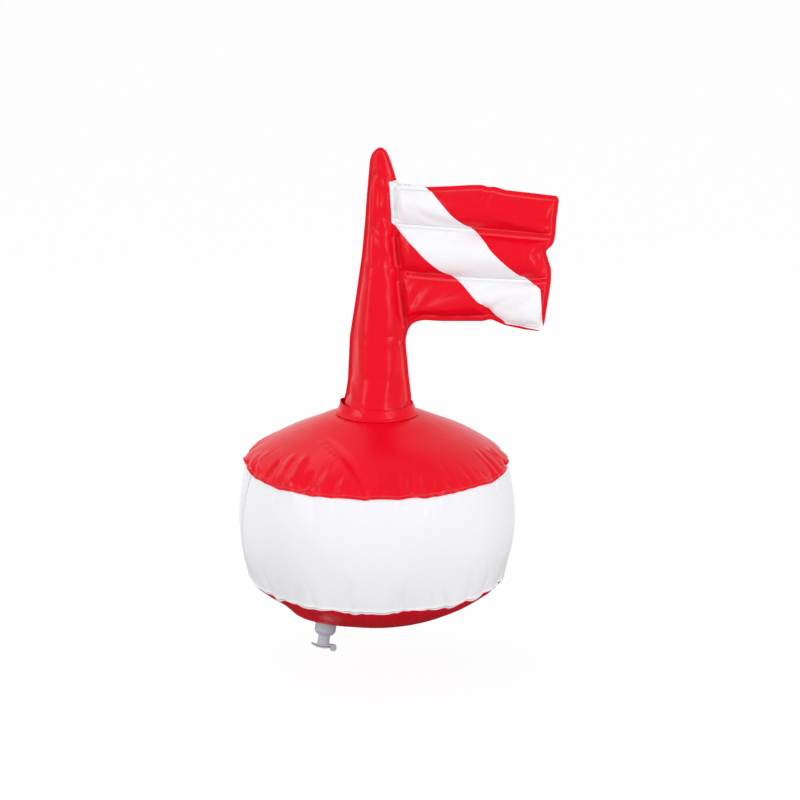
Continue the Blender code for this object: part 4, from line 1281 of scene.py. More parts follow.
UPPER_WELD_ROW = FIRST_FLAG_ROW + 2 + 2 * (CHAMBER_STEPS + 1)
FLY_COLUMN = COLUMNS - 10
FLAG_CUT_WIDTH, FLAG_CUT_FLARE = 160, 24
MAST_TALLER, HOIST_TALLER = 1.012, 0.03
FLAG_TALLER, FLAG_HOIST_TALLER = 1.02, 1.042
HOIST_BLEND = 12


def flat_rows():
    """How far across each point lies in the flat cut, with spare width for the mast's tube and the flag."""
    across = {}
    for row in range(ROWS + 1):
        hoist_x = SHEET[(HOIST, row)][0]
        lengths = running_lengths([(column, row) for column in range(HOIST + 1)])
        for column in range(HOIST + 1):
            across[(column, row)] = hoist_x - (lengths[-1] - lengths[column]) * SPARE
        if FIRST_FLAG_ROW <= row <= LAST_FLAG_ROW:
            share = (row - FIRST_FLAG_ROW) / (LAST_FLAG_ROW - FIRST_FLAG_ROW)
            width = (FLAG_CUT_WIDTH + FLAG_CUT_FLARE * share) * MM * SPARE
            reach = SHEET[(COLUMNS, row)][0] - hoist_x
            for column in range(HOIST + 1, COLUMNS + 1):
                across[(column, row)] = hoist_x + (SHEET[(column, row)][0] - hoist_x) / reach * width
    return across


def flat_sheet():
    """Where each point lies in the flat cut."""
    across = flat_rows()
    flat = {}
    anchor = HOIST_HEIGHTS[UPPER_WELD_ROW]
    for column in range(COLUMNS + 1):
        first, last = (0, ROWS) if column <= HOIST else (FIRST_FLAG_ROW, LAST_FLAG_ROW)
        rows = range(first, last + 1)
        weld = UPPER_WELD_ROW - first
        if column <= HOIST:
            taller = MAST_TALLER + HOIST_TALLER * column / HOIST
            heights = [SHEET[(column, row)][1] * taller for row in rows]
        else:
            lengths = running_lengths([(min(column, FLY_COLUMN), row) for row in rows])
            heights = [length * FLAG_TALLER for length in lengths]
            near = smooth_step((column - HOIST) / HOIST_BLEND)
            plain = [SHEET[(HOIST, row)][1] * FLAG_HOIST_TALLER for row in rows]
            shift = heights[weld] - plain[weld]
            heights = [p + (h - shift - p) * near for h, p in zip(heights, plain)]
        shift = heights[weld] - anchor
        for row, height in zip(rows, heights):
            flat[(column, row)] = (across[(column, row)], height - shift)
    return flat


FLAT_SHEET = flat_sheet()
print("cut from", [round(min(p[i] for p in FLAT_SHEET.values()), 4) for i in (0, 1)],
      "to", [round(max(p[i] for p in FLAT_SHEET.values()), 4) for i in (0, 1)])

# %% Which points the welds hold
def in_hoist_weld(height):
    """Whether the hoist is welded shut at a height."""
    return any(low * MM <= height <= high * MM for high, low in HOIST_WELDS)


LOWER_WELD_ROWS = {FIRST_FLAG_ROW + CHAMBER_STEPS + 2, FIRST_FLAG_ROW + CHAMBER_STEPS + 3}
UPPER_WELD_ROWS = {row + CHAMBER_STEPS + 1 for row in LOWER_WELD_ROWS}
LOWER_WELD_HOLD = 34.0 * MM


def welded(column, row):
    """Whether a point of the sheet is held by a weld."""
    x, height, _ = SHEET[(column, row)]
    if column <= 2 or row <= 1 or height > MAST_TIP - EDGE_WELD:
        return True
    beside_flag = FIRST_FLAG_ROW <= row <= LAST_FLAG_ROW
    if column in (HOIST - 1, HOIST, HOIST + 1) and beside_flag and in_hoist_weld(height):
        return True
    if column >= HOIST - 1 and not beside_flag:
        return True
    if column >= HOIST and (row <= FIRST_FLAG_ROW + 2 or row >= LAST_FLAG_ROW - 2) and beside_flag:
        return True
    if column >= COLUMNS - 2:
        return True
    if row in LOWER_WELD_ROWS:
        return column > HOIST and x > LOWER_WELD_HOLD
    return row in UPPER_WELD_ROWS and column > HOIST

# %% [markdown]
# The grid primitive is bent to the flat cut, inflated, and then given the same finish as the body. Its
# flat places are kept as an attribute, because the stripe is drawn on the flat sheet too. The two
# sheets start from different unevenness, so the flag's two sides don't mirror each other.

# %% Model and inflate the two sheets
def model_sheet(name, side):
    """A flat grid laid out as the cut. The side is -1 for the front and 1 for the back."""
    bpy.ops.mesh.primitive_grid_add(x_subdivisions=COLUMNS, y_subdivisions=ROWS, size=2)
    piece = bpy.context.object
    piece.name = name
    keys = [(round((v.co.x + 1) / 2 * COLUMNS), round((v.co.y + 1) / 2 * ROWS)) for v in piece.data.vertices]
    write_attribute(piece.data, "grid_index", "INT", [column + ROW_MARK * row for column, row in keys])
    pick(piece, "VERT", [index for index, key in enumerate(keys) if key not in SHEET])
    bpy.ops.mesh.delete(type="VERT")
    bpy.ops.object.mode_set(mode="OBJECT")
    marks = [item.value for item in piece.data.attributes["grid_index"].data]
    keys = [(mark % ROW_MARK, mark // ROW_MARK) for mark in marks]
    put_places(piece.data, [(FLAT_SHEET[key][0], side * WELD_GAP, FLAT_SHEET[key][1]) for key in keys])
    if piece.data.polygons[0].normal.y * side < 0:
        on_all(piece, bpy.ops.mesh.flip_normals)
    return piece, keys


ROW_MARK = 1000
WELD_REACH = 3.0
WELD_SPOT = (35.3, 340.5, 3.4)
LOWER_WELD_START = 38 * MM
MAST_CREASES = 0.40
FLAG_CREASES = 0.45
SHEET_SEED = {"frequency": 60, "depth": 0.6 * MM}
SHEET_APART = 0.4
SHEET_AIR = {"frames": 30, "lift": 8, "bending": 0.05, "pressure": 90.0}


def weld_distance(x, height):
    """Millimetres from the nearest edge of a weld on the sheet: less than 0 within the weld."""
    left, edge = read_line(LEFT_EDGE, height), read_line(RIGHT_EDGE, height)
    foot, top = read_line(FLAG_FOOT, x), read_line(FLAG_TOP, x)
    zones = [x - left - EDGE_WELD, MAST_TIP - EDGE_WELD - height]
    for high, low in HOIST_WELDS:
        zones.append(max(abs(x - edge) - HOIST_WELD, height - high * MM, low * MM - height))
    if foot < height < top and x > edge:
        zones += [abs(height - read_line(UPPER_WELD, x)) - CHAMBER_WELD,
                  max(abs(height - read_line(LOWER_WELD, x)) - CHAMBER_WELD, LOWER_WELD_START - x),
                  read_line(FLY_EDGE, height) - x - FLAG_EDGE_WELD,
                  height - foot - FLAG_EDGE_WELD, top - height - FLAG_EDGE_WELD,
                  math.hypot(x - WELD_SPOT[0] * MM, height - WELD_SPOT[1] * MM) - WELD_SPOT[2] * MM]
    elif not FLAG_FOOT[0][1] * MM < height < FLAG_TOP[0][1] * MM:
        zones.append(edge - x - EDGE_WELD)
    return min(max(min(zones) / MM, -WELD_REACH), WELD_REACH)


def inflate_sheet(name, side):
    """Model a sheet and blow it up, keeping a share of its creases."""
    piece, keys = model_sheet(name, side)
    settled = np.array([(SHEET[key][0], side * (WELD_GAP + SHEET[key][2]), SHEET[key][1]) for key in keys])
    flat = places(piece.data)
    write_attribute(piece.data, "cut_place", "FLOAT_VECTOR", flat.ravel())
    write_attribute(piece.data, "settled_place", "FLOAT_VECTOR", settled.ravel())
    away = np.array([(0.0, float(side), 0.0)] * len(flat))
    apart = (0, side * SHEET_APART, 0)
    put_places(piece.data, seeded(flat + apart, away, **SHEET_SEED) - apart)
    pinned = np.array([welded(*key) for key in keys])
    blown = inflate(piece, settled, pinned, **SHEET_AIR)
    kept = np.array([MAST_CREASES if key[0] < HOIST else FLAG_CREASES for key in keys])
    blown = settled + (blown - settled) * kept[:, None]
    blown[:, 1] = side * np.maximum(side * blown[:, 1], WELD_GAP)
    put_places(piece.data, blown)
    print(name, "swells to", round(float(np.abs(blown[:, 1]).max()), 4), "m")
    return piece


front_sheet = inflate_sheet("front_film", -1)
back_sheet = inflate_sheet("back_film", 1)

# %% [markdown]
# ## The white stripe
#
# The stripe is a strip of white film with straight edges, laid on the flat sheet before anything is
# blown up. So it is cut the same way: a copy of the sheet goes back to its flat places, six straight
# bisections trim it, and the copy then returns to its inflated places. Its edges now waver where the
# flag puckers, as the real ones do, and it closes over the sheet's rim at the top.

# %% Cut the stripe out of a copy of the sheet
STRIPE_FILM = 0.3 * MM
STRIPE_LIFT = 0.06 * MM
RIM_COVER = 1.1 * MM
RIM_SHARE = 1.0 * MM
SAME_POINT = 0.02 * MM
STRIPE_CUTS = (((55.3, 436.1), (182.0, 335.0)), ((145.9, 292.3), (24.0, 389.6)),
               ((18.35, 398.0), (18.25, 437.0)), ((183.0, 335.0), (185.7, 296.0)),
               ((14.0, 438.0), (30.0, 442.0)), ((176.0, 290.0), (150.0, 293.4)))


def cut_place_of(x, z):
    """The flat place of a settled point of the flag, in millimetres in, metres out."""
    key = min(SHEET, key=lambda k: math.hypot(SHEET[k][0] - x * MM, SHEET[k][1] - z * MM))
    return Vector((FLAT_SHEET[key][0] + x * MM - SHEET[key][0], 0,
                   FLAT_SHEET[key][1] + z * MM - SHEET[key][1]))


def cut_stripe(sheet, name):
    """A trimmed copy of an inflated sheet, lifted off it."""
    only(sheet)
    bpy.ops.object.duplicate()
    stripe = bpy.context.object
    stripe.name = name
    mesh = stripe.data
    lifted = places(mesh) + point_normals(mesh) * STRIPE_LIFT
    write_attribute(mesh, "blown_place", "FLOAT_VECTOR", lifted.ravel())
    flat = read_attribute(mesh, "cut_place")
    flat[:, 1] = 0
    put_places(mesh, flat)
    for first, second in STRIPE_CUTS:
        start, end = cut_place_of(*first), cut_place_of(*second)
        along = (end - start).normalized()
        outer = Vector((-along.z, 0, along.x))
        on_all(stripe, bpy.ops.mesh.bisect, plane_co=start, plane_no=outer, clear_outer=True,
               clear_inner=False, threshold=SAME_POINT)
    blown = read_attribute(mesh, "blown_place")
    at_top = np.array([height > read_line(FLAG_TOP, x) - RIM_SHARE
                       for x, _, height in read_attribute(mesh, "settled_place")])
    blown[at_top, 2] += RIM_COVER
    put_places(mesh, blown)
    on_all(stripe, bpy.ops.mesh.remove_doubles, threshold=SAME_POINT)
    thicken(stripe, STRIPE_FILM, 1)
    bpy.ops.object.shade_smooth_by_angle(angle=50 * DEG)
    return coat(stripe, WHITE_FILM)


def finish_sheet(sheet, stripe_name):
    """Round a sheet, write its distances from the welds, take its stripe, and give it its wall."""
    round_off(sheet)
    settled = read_attribute(sheet.data, "settled_place")
    distances = [weld_distance(x, height) - WELD_FAR for x, _, height in settled]
    write_attribute(sheet.data, "weld", "FLOAT", distances)
    stripe = cut_stripe(sheet, stripe_name)
    back_and_coat(sheet, RED_FILM)
    return stripe


front_stripe = finish_sheet(front_sheet, "front_stripe_film")
back_stripe = finish_sheet(back_sheet, "back_stripe_film")
for piece, node, slot in ((front_sheet, "mast_flag_front_sheet", "red_film"),
                          (back_sheet, "mast_flag_back_sheet", "red_film"),
                          (front_stripe, "stripe_front", "white_film"),
                          (back_stripe, "stripe_back", "white_film")):
    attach(piece, "float")
    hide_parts(node)
    print(piece.name, len(piece.data.vertices), "points")

# %% [markdown]
# ## The cuff at the mast's foot
#
# A short collar of the same film joins the mast to the dome. Its foot is a flange welded flat to the
# dome and its top is welded to the mast, and between them it is a little too long, so it crumples. It
# is a cylinder without ends, taller and wider in the cut than in place, inflated like the rest.

# %% Model and crumple the cuff
CUFF_TOP_RADIUS = 41.0 * MM
CUFF_ROWS = 14
CUFF_SEGMENTS = 200
CUFF_LIP_AT = 196
CUFF_FOOT = 184.9 * MM
CUFF_WIDER = 1.008
CUFF_TALLER = 1.05
CUFF_PROFILE = ((44.4, 184.6), (45.0, 185.2), (44.8, 186.0), (44.1, 186.5), (43.3, 186.9), (42.6, 187.6),
                (42.1, 188.5), (41.7, 189.4), (41.3, 190.4), (40.9, 191.5), (40.5, 192.6), (40.1, 193.7),
                (39.7, 194.8), (39.3, 195.8), (39.0, 196.7))
CUFF_SEED = {"frequency": 60, "depth": 0.7 * MM}
CUFF_AIR = {"frames": 24, "lift": 8, "bending": 0.15, "pressure": 60.0}


def cuff_point(angle, row):
    """A settled point of the cuff: its lip stands out at the left, and its rim is uneven."""
    radius, height = (value * MM for value in CUFF_PROFILE[row])
    share = row / CUFF_ROWS
    off = turned_by(angle, CUFF_LIP_AT)
    lip = 0.9 * MM * math.exp(-(off / 9) ** 2) * share ** 3
    radius += lip + 0.5 * MM * wave(angle, 1.3, 3.5) * (1 - share)
    rise = 0.4 * wave(angle, 5.9, 5.0) * (1 if row > 2 else 0) + 2.2 * math.exp(-(off / 30) ** 2)
    height += rise * MM * share
    return (radius * math.cos(angle), radius * math.sin(angle), height)


def model_cuff():
    """The collar between the mast and the dome."""
    bpy.ops.mesh.primitive_cylinder_add(vertices=CUFF_SEGMENTS, radius=CUFF_TOP_RADIUS, depth=1,
                                        end_fill_type="NOTHING", location=(0, 0, 0.5))
    cuff = settle(bpy.context.object)
    cuff.name = "cuff_film"
    divide(cuff, long_edges(cuff, 2, 0.5), CUFF_ROWS - 1)
    rows = [round(vertex.co.z * CUFF_ROWS) for vertex in cuff.data.vertices]
    angles = [math.atan2(vertex.co.y, vertex.co.x) for vertex in cuff.data.vertices]
    settled = np.array([cuff_point(angle, row) for angle, row in zip(angles, rows)])
    cut = settled.copy()
    cut[:, :2] *= CUFF_WIDER
    cut[:, 2] = CUFF_FOOT + (cut[:, 2] - CUFF_FOOT) * CUFF_TALLER
    put_places(cuff.data, cut)
    on_all(cuff, bpy.ops.mesh.normals_make_consistent, inside=False)
    put_places(cuff.data, seeded(cut, point_normals(cuff.data), **CUFF_SEED))
    pinned = np.array([row <= 2 or row >= CUFF_ROWS for row in rows])
    put_places(cuff.data, inflate(cuff, settled, pinned, **CUFF_AIR))
    return back_and_coat(round_off(cuff), RED_FILM)


cuff = model_cuff()
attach(cuff, "float")
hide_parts("mast_foot_cuff")
print("cuff from", round(min(v.co.z for v in cuff.data.vertices), 4))

# %% [markdown]
# ## The moulded pieces
#
# The valve is moulded in a grey plastic with a fine matt grain, and the line tab's eyelet is nickel
# plate.

# %% Plastic and metal finishes
def grain_group():
    """A node group: mask and normal of a fine moulded grain with shallow flow marks."""
    group, inlet, outlet = new_group("moulded_grain", (("Grain", 0.1), ("Scale", 1500.0)), ("Mask", "Normal"))
    place = add_node(group, "TexCoord").outputs["Object"]
    grain = bumped(group, noise_at(group, place, inlet["Scale"], 3), 0.0003, inlet["Grain"])
    feed(group, outlet, {"Mask": noise_at(group, place, 90, 4), "Normal": grain})
    return group


MOULDED_GRAIN = grain_group()


def moulded_material(name, low, high, roughness, metallic, grain, scale):
    """A moulded or plated finish with uneven tone and gloss."""
    material, tree, shader = new_material(name)
    surface = add_node(tree, "Group", {"Grain": grain, "Scale": scale}, node_tree=MOULDED_GRAIN).outputs
    feed(tree, shader, {"Base Color": mixed_colour(tree, surface["Mask"], low, high), "Metallic": metallic,
                        "Roughness": spread(tree, surface["Mask"], 0.3, 0.7,
                                            roughness - 0.05, roughness + 0.06),
                        "Normal": surface["Normal"]})
    return material


GREY_PLASTIC = moulded_material("grey_plastic", (0.45, 0.49, 0.555, 1), (0.52, 0.56, 0.63, 1),
                                0.40, 0, 0.25, 1400)
NICKEL = moulded_material("nickel", (0.58, 0.56, 0.53, 1), (0.66, 0.64, 0.61, 1), 0.26, 1, 0.06, 2200)
print("moulded finishes made")

# %% [markdown]
# ## The inflation valve
#
# All of the valve turns round one axis, so its pieces start as a circle that is extruded along a
# profile, with every corner of the profile rounded first. Ears, pin, loop and tab are bevelled
# primitives joined to them. The pieces are modelled in the valve's own frame, X towards the plug's
# hinge and Z out of the float, and then put in place.

# %% Turning and joining
VALVE_ACROSS = VALVE_OUT.cross(VALVE_TO_LOOP)
VALVE_MATRIX = Matrix((VALVE_TO_LOOP, VALVE_ACROSS, VALVE_OUT)).transposed().to_4x4()
VALVE_MATRIX.translation = VALVE_POINT
TURN_STEPS = 96
ARC_STEPS = 4


def rounded_outline(outline, fillet):
    """A profile of (radius, height) pairs in millimetres with its corners rounded, as a closed line."""
    points = []
    for index, corner in enumerate(outline):
        corner = Vector(corner[:2])
        before, after = Vector(outline[index - 1][:2]), Vector(outline[(index + 1) % len(outline)][:2])
        near = min(fillet, 0.45 * (before - corner).length, 0.45 * (after - corner).length)
        if corner.x == 0:
            points.append(corner)
            continue
        start = corner + (before - corner).normalized() * near
        end = corner + (after - corner).normalized() * near
        for step in range(ARC_STEPS + 1):
            share = step / ARC_STEPS
            points.append(start.lerp(corner, share).lerp(corner.lerp(end, share), share))
    return points


def turned(name, outline, fillet=0.3):
    """Extrude a circle along a rounded profile. One that starts and ends on the axis is closed there."""
    points = rounded_outline(outline, fillet)
    solid = outline[0][0] == 0
    if solid:
        points = [Vector((0.2, p.y)) if p.x == 0 else p for p in points]
    else:
        points.append(points[0])
    bpy.ops.mesh.primitive_circle_add(vertices=TURN_STEPS, radius=points[0].x * MM, fill_type="NOTHING",
                                      location=(0, 0, points[0].y * MM))
    piece = settle(bpy.context.object)
    piece.name = name
    bpy.ops.object.mode_set(mode="EDIT")
    bpy.ops.mesh.select_mode(type="EDGE")
    bpy.ops.mesh.select_all(action="SELECT")
    for before, point in zip(points, points[1:]):
        share = point.x / before.x
        bpy.ops.mesh.extrude_edges_move(TRANSFORM_OT_translate={"value": (0, 0, (point.y - before.y) * MM)})
        bpy.ops.transform.resize(value=(share, share, 1), center_override=(0, 0, point.y * MM))
    bpy.ops.mesh.select_all(action="SELECT")
    bpy.ops.mesh.remove_doubles(threshold=0.000001)
    if solid:
        bpy.ops.mesh.fill_holes(sides=0)
    bpy.ops.mesh.select_all(action="SELECT")
    bpy.ops.mesh.normals_make_consistent(inside=False)
    bpy.ops.object.mode_set(mode="OBJECT")
    return piece


def bevelled(piece, width, segments=3):
    """Round the sharp edges of a primitive."""
    bevel = piece.modifiers.new("bevel", "BEVEL")
    bevel.width = width * MM
    bevel.segments = segments
    bevel.limit_method = "ANGLE"
    bevel.angle_limit = 40 * DEG
    return apply_all(piece)


def disc_across(name, radius, low, high, x, z, bevel=0.3):
    """A bevelled cylinder lying along Y."""
    bpy.ops.mesh.primitive_cylinder_add(vertices=64, radius=radius * MM, depth=(high - low) * MM,
                                        location=(x * MM, (low + high) / 2 * MM, z * MM),
                                        rotation=(90 * DEG, 0, 0))
    piece = settle(bpy.context.object)
    piece.name = name
    return bevelled(piece, bevel) if bevel else piece


def block(name, low, high, bevel=0.3):
    """A bevelled box between two corners, in millimetres."""
    low, high = Vector(low) * MM, Vector(high) * MM
    bpy.ops.mesh.primitive_cube_add(size=1, location=(low + high) / 2)
    piece = bpy.context.object
    piece.name = name
    piece.scale = high - low
    settle(piece)
    return bevelled(piece, bevel) if bevel else piece


def dress(piece, matrix, finish, body, node):
    """Put a modelled solid in place, smooth it, coat it, hang it on its body and hide the frame's part it
    stands for.
    """
    piece.matrix_world = matrix
    settle(piece)
    bpy.ops.object.shade_smooth_by_angle(angle=SHARP * DEG)
    coat(piece, finish)
    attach(piece, body)
    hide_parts(node)
    print(piece.name, len(piece.data.vertices), "points")

# %% Model the valve
SHARP = 38
HINGE_X, HINGE_Z = 11.5, 28.2
BASE_OUTLINE = ((6.7, -5.2), (8.7, -5.2), (8.7, -1.8), (17.0, -1.8), (17.0, -0.8), (11.9, -0.8), (11.45, 0.4),
                (11.45, 10.9), (8.75, 14.5), (7.5, 14.5), (6.7, 13.9))
STEM_OUTLINE = ((4.5, -8.2), (8.2, -8.2), (8.2, -5.5), (6.4, -5.5), (6.4, 25.0), (7.15, 25.5), (7.15, 27.0),
                (4.9, 27.0), (4.5, 26.6))
PLUG_OUTLINE = ((0, 23.3), (3.3, 23.3), (4.2, 27.3), (8.0, 27.3), (8.0, 28.6), (5.76, 29.25), (4.6, 29.3),
                (4.2, 29.05), (0, 29.35))
FLAP_OUTLINE = ((0, -9.1), (6.4, -9.1), (6.4, -8.5), (0, -8.5))
PULL_STEPS = 12
PULL_START, PULL_END = 5.2, 12.8
PULL_FOOT, PULL_TOP = 27.3, 29.5
PULL_NARROWS = 0.78
PULL_WAIST = 0.45 * MM
PULL_CURL = 2.6 * MM

valve_collar = turned("valve_collar", BASE_OUTLINE, 0.7)
valve_tube = turned("valve_tube", STEM_OUTLINE, 0.35)
for side in (-1, 1):
    inner, outer = sorted((side * 1.9, side * 3.3))
    combine(valve_tube, disc_across("ear", 3.5, inner, outer, HINGE_X, HINGE_Z), "UNION")
    combine(valve_tube, block("web", (5.45, inner, 24.7), (HINGE_X, outer, 26.8), 0.25), "UNION")
combine(valve_tube, disc_across("hinge_pin", 1.5, -2.6, 2.6, HINGE_X, HINGE_Z, 0), "UNION")


def pull_tab():
    """The finger tab of the plug: a narrowing strip curled towards the float, with a thicker end."""
    tab = block("pull_tab", (-PULL_END, -3.5, PULL_FOOT), (-PULL_START, 3.5, PULL_TOP), 0)
    divide(tab, long_edges(tab, 0, MM), PULL_STEPS - 1)
    for vertex in tab.data.vertices:
        along = min(max((-PULL_START * MM - vertex.co.x) / ((PULL_END - PULL_START) * MM), 0), 1)
        vertex.co.y *= math.sqrt(1 - (along * PULL_NARROWS) ** 2)
        thin = PULL_WAIST * math.sin(math.pi * along) ** 2
        upper = vertex.co.z > (PULL_FOOT + PULL_TOP) / 2 * MM
        vertex.co.z -= PULL_CURL * along * along + (thin if upper else 0)
    return bevelled(tab, 0.45)


valve_cap = turned("valve_cap", PLUG_OUTLINE, 0.45)
combine(valve_cap, disc_across("loop", 3.5, -1.6, 1.6, HINGE_X, HINGE_Z, 0.45), "UNION")
combine(valve_cap, block("arm", (5.2, -1.6, 27.3), (HINGE_X, 1.6, 29.0), 0.35), "UNION")
combine(valve_cap, pull_tab(), "UNION")
combine(valve_cap, disc_across("bore", 1.8, -4, 4, HINGE_X, HINGE_Z, 0), "DIFFERENCE")
valve_disc = turned("valve_disc", FLAP_OUTLINE, 0.15)
for piece, body, node in ((valve_collar, "float", "valve_base"), (valve_tube, "stem", "valve_stem"),
                          (valve_cap, "plug", "valve_plug"), (valve_disc, "flap", "valve_flap")):
    dress(piece, VALVE_MATRIX, GREY_PLASTIC, body, node)

# %% [markdown]
# ## The line tab
#
# Under the middle of the float sit a round doubler, with the ring that the weld bar pressed in it, and
# the tab that takes a diver's line through a nickel eyelet. The tab is a box and a disc joined.

# %% Model the line tab
PATCH_GAP = 0.3
PATCH_LEVELS = (0, 4.0, 8.0, 12.0, 15.6)
WELD_RING = ((16.0, 0.0), (16.5, 0.3), (18.6, 0.3), (19.1, 0.0))
DOUBLER_RADIUS = 22.0
DOUBLER_FILM = 1.0
EYELET_Y = 29.0
TAB_HALF = 13
TAB_ROOT = -6
TAB_LOW, TAB_HIGH = -52.8, -51.6
BARREL_OUTLINE = ((4.5, -53.6), (4.9, -53.9), (8.5, -53.9), (9.0, -53.4), (8.8, -53.1), (5.3, -53.1),
                  (5.3, -50.7), (5.1, -50.5), (4.5, -50.7))
RING_OUTLINE = ((5.6, -51.3), (8.8, -51.3), (9.0, -51.0), (7.4, -50.5), (5.6, -50.6))


def patch_outline():
    """The doubler's profile: under the film above, flat rings of the weld pressed in its lower face."""
    under = [(radius, 0.0) for radius in PATCH_LEVELS] + list(WELD_RING) + [(DOUBLER_RADIUS, 0.0)]
    over = [(radius, DOUBLER_FILM) for radius in (DOUBLER_RADIUS, 16.0, 8.0, 0)]
    return [(radius, bottom_height(radius * MM) / MM - PATCH_GAP - DOUBLER_FILM + lift)
            for radius, lift in under + over]


doubler = turned("doubler", patch_outline(), 0.3)
tab_strip = block("tab_strip", (-TAB_HALF, TAB_ROOT, TAB_LOW), (TAB_HALF, EYELET_Y, TAB_HIGH), 0)
for radius, depth, points, operation in ((TAB_HALF, TAB_HIGH - TAB_LOW, 128, "UNION"),
                                         (5.6, 6, 96, "DIFFERENCE")):
    bpy.ops.mesh.primitive_cylinder_add(vertices=points, radius=radius * MM, depth=depth * MM,
                                        location=(0, EYELET_Y * MM, (TAB_LOW + TAB_HIGH) / 2 * MM))
    combine(tab_strip, settle(bpy.context.object), operation)
bevelled(tab_strip, 0.25)
eyelet_barrel = turned("eyelet_barrel", BARREL_OUTLINE, 0.3)
eyelet_ring = turned("eyelet_ring", RING_OUTLINE, 0.3)
down_tab = Matrix.Translation((0, EYELET_Y * MM, 0))
dress(doubler, Matrix(), RED_FILM, "float", "line_patch")
dress(tab_strip, Matrix(), RED_FILM, "tab", "line_tab")
dress(eyelet_barrel, down_tab, NICKEL, "tab", "line_eyelet")
dress(eyelet_ring, down_tab, NICKEL, "tab", "line_eyelet_washer")

# %% [markdown]
# ## Camera, floor and light
#
# The camera stands well back, 18 degrees round to the right and 14 degrees up, as lines on the float
# show. The floor lies low enough for the line tab to hang clear of it. Tall soft boxes on the left and
# the right and one high up on the left give film its broad highlights, and the world adds an even
# fill. The camera, gloss and clear film see a white room.

# %% Place the camera
VIEW_ROUND = 18.0 * DEG
VIEW_UP = 13.94 * DEG
VIEW_DISTANCE = 4.0
FRAME_PIXELS = 800
FOCAL_PIXELS = 3698.6
view_right = Vector((math.cos(VIEW_ROUND), math.sin(VIEW_ROUND), 0))
view_back = Vector((math.sin(VIEW_ROUND) * math.cos(VIEW_UP), -math.cos(VIEW_ROUND) * math.cos(VIEW_UP),
                    math.sin(VIEW_UP)))
view_target = view_right * 0.025 + Vector((0, 0, 0.1989))
camera_data = bpy.data.cameras.new("camera")
camera = bpy.data.objects.new("camera", camera_data)
scene.collection.objects.link(camera)
camera.location = view_target + view_back * VIEW_DISTANCE
camera.rotation_euler = (-view_back).to_track_quat("-Z", "Y").to_euler()
camera_data.sensor_width = 36
camera_data.lens = FOCAL_PIXELS / FRAME_PIXELS * 36
camera_data.clip_end = 50
scene.camera = camera
print("camera at", [round(value, 3) for value in camera.location])

# %% Lay the floor
FLOOR_HEIGHT = -0.108
SHADE_NEAR, SHADE_FAR = 0.25, 0.7
GLOW = 1.09
GLOW_SHARE = 0.85


def any_of(tree, *masks):
    """The greatest of some masks."""
    most = masks[0]
    for mask in masks[1:]:
        most = worked_out(tree, "MAXIMUM", most, mask)
    return most


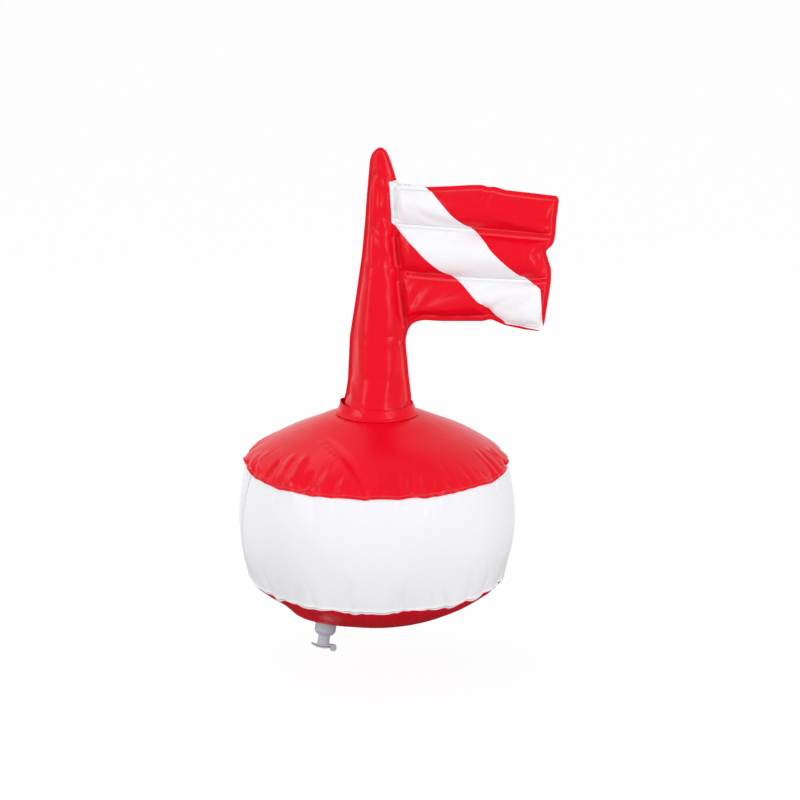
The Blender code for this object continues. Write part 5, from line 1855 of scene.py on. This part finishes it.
def floor_material():
    """A near-white floor with the faintest unevenness, clear from below so that the underside can be seen.

    The camera, clear film and far gloss see it as plain white. Gloss near the float sees a dark
    shader instead of the lit floor: painted shade, standing in for the float's shadow in reflections."""
    material, tree, shader = new_material("pale_floor")
    place = add_node(tree, "TexCoord").outputs["Object"]
    ray = add_node(tree, "LightPath").outputs
    colour = mixed_colour(tree, noise_at(tree, place, 3, 2), (0.56, 0.56, 0.56, 1), (0.60, 0.60, 0.60, 1))
    feed(tree, shader, {"Base Color": colour, "Roughness": 0.9, "Specular IOR Level": 0.1})
    away = add_node(tree, "VectorMath", {0: place}, operation="LENGTH").outputs["Value"]
    near = spread(tree, away, SHADE_NEAR, SHADE_FAR, 1.0, 0.0, "SMOOTHSTEP")
    far = worked_out(tree, "SUBTRACT", 1.0, near)
    # Painted shade: near the float, glossy rays see this dark diffuse in place of the lit floor.
    painted_shade = add_node(tree, "BsdfDiffuse", {"Color": (0.08, 0.08, 0.08, 1)}).outputs[0]
    painted_shade_gloss = worked_out(tree, "MULTIPLY", ray["Is Glossy Ray"], near)
    far_gloss = worked_out(tree, "MULTIPLY", ray["Is Glossy Ray"], far)
    white = any_of(tree, far_gloss, ray["Is Camera Ray"], ray["Is Transmission Ray"])
    glow = add_node(tree, "Emission", {"Strength": GLOW}).outputs[0]
    lit = mixed_shader(tree, worked_out(tree, "MULTIPLY", white, GLOW_SHARE),
                       mixed_shader(tree, painted_shade_gloss, shader.outputs[0], painted_shade), glow)
    backfacing = add_node(tree, "NewGeometry").outputs["Backfacing"]
    below = worked_out(tree, "MULTIPLY", backfacing, ray["Is Camera Ray"])
    one_way = mixed_shader(tree, below, lit, add_node(tree, "BsdfTransparent").outputs[0])
    feed(tree, tree.nodes["Material Output"], {"Surface": one_way})
    return material


bpy.ops.mesh.primitive_plane_add(size=14, location=(0, 0, FLOOR_HEIGHT))
floor = settle(bpy.context.object)
floor.name = "floor"
floor.data.materials.append(floor_material())

# %% Light the scene
FILL = 0.63
world = bpy.data.worlds.new("white_room")
world.use_nodes = True
scene.world = world
tree = world.node_tree
room = feed(tree, tree.nodes["Background"], {"Color": (1, 1, 1, 1), "Strength": FILL})
white = add_node(tree, "Background", {"Color": (1, 1, 1, 1), "Strength": 1.0})
ray = add_node(tree, "LightPath").outputs
seen = any_of(tree, ray["Is Camera Ray"], ray["Is Glossy Ray"], ray["Is Transmission Ray"])
around = mixed_shader(tree, seen, room.outputs[0], white.outputs[0])
feed(tree, tree.nodes["World Output"], {"Surface": around})


def soft_box(name, place, aim, size, power):
    """A square soft lamp aimed at a point."""
    lamp = bpy.data.lights.new(name, "AREA")
    lamp.shape = "RECTANGLE"
    lamp.size, lamp.size_y = size
    lamp.energy = power
    item = bpy.data.objects.new(name, lamp)
    scene.collection.objects.link(item)
    item.location = place
    item.rotation_euler = (Vector(aim) - Vector(place)).to_track_quat("-Z", "Y").to_euler()
    return item


soft_box("left_box", (-1.3, -1.3, 0.75), (0, 0, 0.12), (0.5, 1.1), 12.5)
soft_box("right_box", (1.5, -1.0, 0.7), (0, 0, 0.15), (0.5, 1.1), 14.5)
soft_box("top_box", (-1.1, 0.35, 1.5), (0, 0, 0.12), (0.7, 0.7), 3)
print("lights placed")

# %% Finish
view_settings = scene.view_settings
view_settings.view_transform = "Standard"
